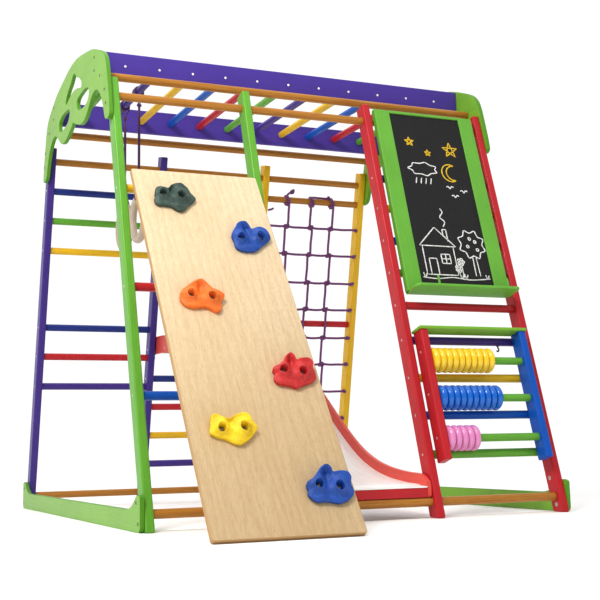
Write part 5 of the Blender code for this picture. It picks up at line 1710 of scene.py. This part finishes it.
# --------------------------------------------------------------------- rings
RING_Y = (1.743 * BAY, 2.157 * BAY)
RING_Z = 2.270 * BAY
RING_R, RING_TUBE_R = 0.0715, 0.0125
ring_x = BAR_FIRST + BAR_PITCH
for k, y in enumerate(RING_Y):
    centre = at(ring_x, y, RING_Z)

    def torus(bm, layer, c=centre):
        n, m2 = 96, 28
        rows = []
        for i in range(n):
            a = 2 * math.pi * i / n
            out = Vector((0, math.cos(a), math.sin(a)))
            rows.append([bm.verts.new(
                c + out * (RING_R + RING_TUBE_R * math.cos(2 * math.pi * j / m2))
                + X_AXIS * (RING_TUBE_R * math.sin(2 * math.pi * j / m2)))
                for j in range(m2)])
        for i in range(n):
            for j in range(m2):
                f = bm.faces.new((rows[i][j], rows[(i + 1) % n][j],
                                  rows[(i + 1) % n][(j + 1) % m2],
                                  rows[i][(j + 1) % m2]))
                u0, u1 = 0.45 * i / n, 0.45 * (i + 1) / n
                v0, v1 = 0.078 * j / m2, 0.078 * (j + 1) / m2
                uv_quad(f, layer, ((u0, v0), (u1, v0), (u1, v1), (u0, v1)))

    group("ring_%d_wood" % (k + 1), torus, [RING_WOOD], "ring_%d" % (k + 1),
          node="ring_%d" % (k + 1), slot="beech_wood", weighted=False, sharp=80.0)
    ROPE_R, ROPE_WAIST = 0.0022, 0.0023
    bend = RUNG_R + ROPE_R + 0.0005
    drop = BAR_Z - (RING_Z + RING_R)
    points = [(bend * math.cos(math.pi * i / 8), bend * math.sin(math.pi * i / 8))
              for i in range(9)]
    side = [(bend * 0.93, 0.012), (bend * 0.55, 0.030), (ROPE_WAIST, 0.045),
            (ROPE_WAIST, drop * 0.35), (ROPE_WAIST, drop * 0.5),
            (ROPE_WAIST, drop * 0.65), (ROPE_WAIST, drop - 0.045),
            (bend * 0.55, drop - 0.030), (bend * 0.93, drop - 0.012)]
    points += [(-a, -b) for a, b in side]
    points += [(bend * math.cos(math.pi + math.pi * i / 8),
                -drop + bend * math.sin(math.pi + math.pi * i / 8))
               for i in range(9)]
    points += [(a, -b) for a, b in reversed(side)]
    hub = at(ring_x, y, BAR_Z)

    def cord(bm, layer, pts=points, hub=hub, drop=drop):
        line = [hub + Vector((a, 0, b)) for a, b in spline2(pts, 5, True)]
        tube_bm(bm, layer, line, ROPE_R, 12, cyclic=True)
        coil = []
        for i in range(121):
            t = i / 120
            a = math.pi / 2 + 2 * math.pi * 4.0 * t
            coil.append(hub + Y_AXIS * (0.0058 + 0.0215 * t)
                        + X_AXIS * ((RUNG_R + 0.0030) * math.cos(a))
                        + Z_AXIS * ((RUNG_R + 0.0030) * math.sin(a)))
        tube_bm(bm, layer, coil, 0.0026, 10, off=1.0)
        for z in (0.050, drop - 0.050):
            wrap = []
            for i in range(61):
                t = i / 60
                a = 2 * math.pi * 4.0 * t
                wrap.append(hub - Z_AXIS * z + Z_AXIS * (0.0080 * (0.5 - t))
                            + X_AXIS * (0.0068 * math.cos(a))
                            + Y_AXIS * (0.0042 * math.sin(a)))
            tube_bm(bm, layer, wrap, 0.0014, 8, off=z)

    group("ring_rope_%d_cord" % (k + 1), cord, [RING_ROPE], "rope_%d" % (k + 1),
          node="ring_rope_%d" % (k + 1), slot="purple_rope", weighted=False,
          sharp=80.0)

# ------------------------------------------------------------------- studio
bm = bmesh.new()
bmesh.ops.create_grid(bm, x_segments=24, y_segments=24, size=14)
mesh = bpy.data.meshes.new("studio_floor")
bm.to_mesh(mesh)
bm.free()
floor = bpy.data.objects.new("studio_floor", mesh)
bpy.context.scene.collection.objects.link(floor)
k = Mat("studio_paper")
mottle = k.noise(k.space(2.0), 3.0)
k.set(Base_Color=k.mix(mottle, (0.92, 0.92, 0.92, 1), (0.95, 0.95, 0.95, 1)),
      Roughness=k.span(mottle, 0.75, 0.9))
mesh.materials.append(k.m)
world = bpy.data.worlds.new("studio")
bpy.context.scene.world = world
world.use_nodes = True
wt = world.node_tree
sky = wt.nodes["Background"]
sky.inputs[1].default_value = 1.0
way = wt.nodes.new("ShaderNodeTexCoord")
split = wt.nodes.new("ShaderNodeSeparateXYZ")
wt.links.new(way.outputs["Generated"], split.inputs[0])


def sky_range(value, a, b, lo, hi):
    """Smooth change of brightness with the direction in the studio."""
    n = wt.nodes.new("ShaderNodeMapRange")
    n.interpolation_type = "SMOOTHSTEP"
    wt.links.new(value, n.inputs["Value"])
    for name, v in (("From Min", a), ("From Max", b), ("To Min", lo),
                    ("To Max", hi)):
        n.inputs[name].default_value = v
    return n.outputs[0]


wall = sky_range(split.outputs[1], -0.05, 0.50, 0.52, 1.04)
roof = sky_range(split.outputs[2], 0.45, 0.85, 0.0, 0.70)
both = wt.nodes.new("ShaderNodeMath")
both.operation = "ADD"
wt.links.new(wall, both.inputs[0])
wt.links.new(roof, both.inputs[1])
wt.links.new(both.outputs[0], sky.inputs[0])


def area(name, place, target, size, power, tint=(1, 1, 1)):
    d = bpy.data.lights.new(name, "AREA")
    d.shape = "RECTANGLE"
    d.size, d.size_y = size
    d.energy = power
    d.color = tint
    o = bpy.data.objects.new(name, d)
    bpy.context.scene.collection.objects.link(o)
    o.location = place
    o.rotation_mode = "QUATERNION"
    o.rotation_quaternion = (Vector(target) - Vector(place)).to_track_quat("-Z", "Y")
    return o


area("key", (-1.9, -1.9, 2.9), (-0.1, -0.2, 0.6), (0.9, 0.9), 74,
     (1.0, 0.985, 0.95))
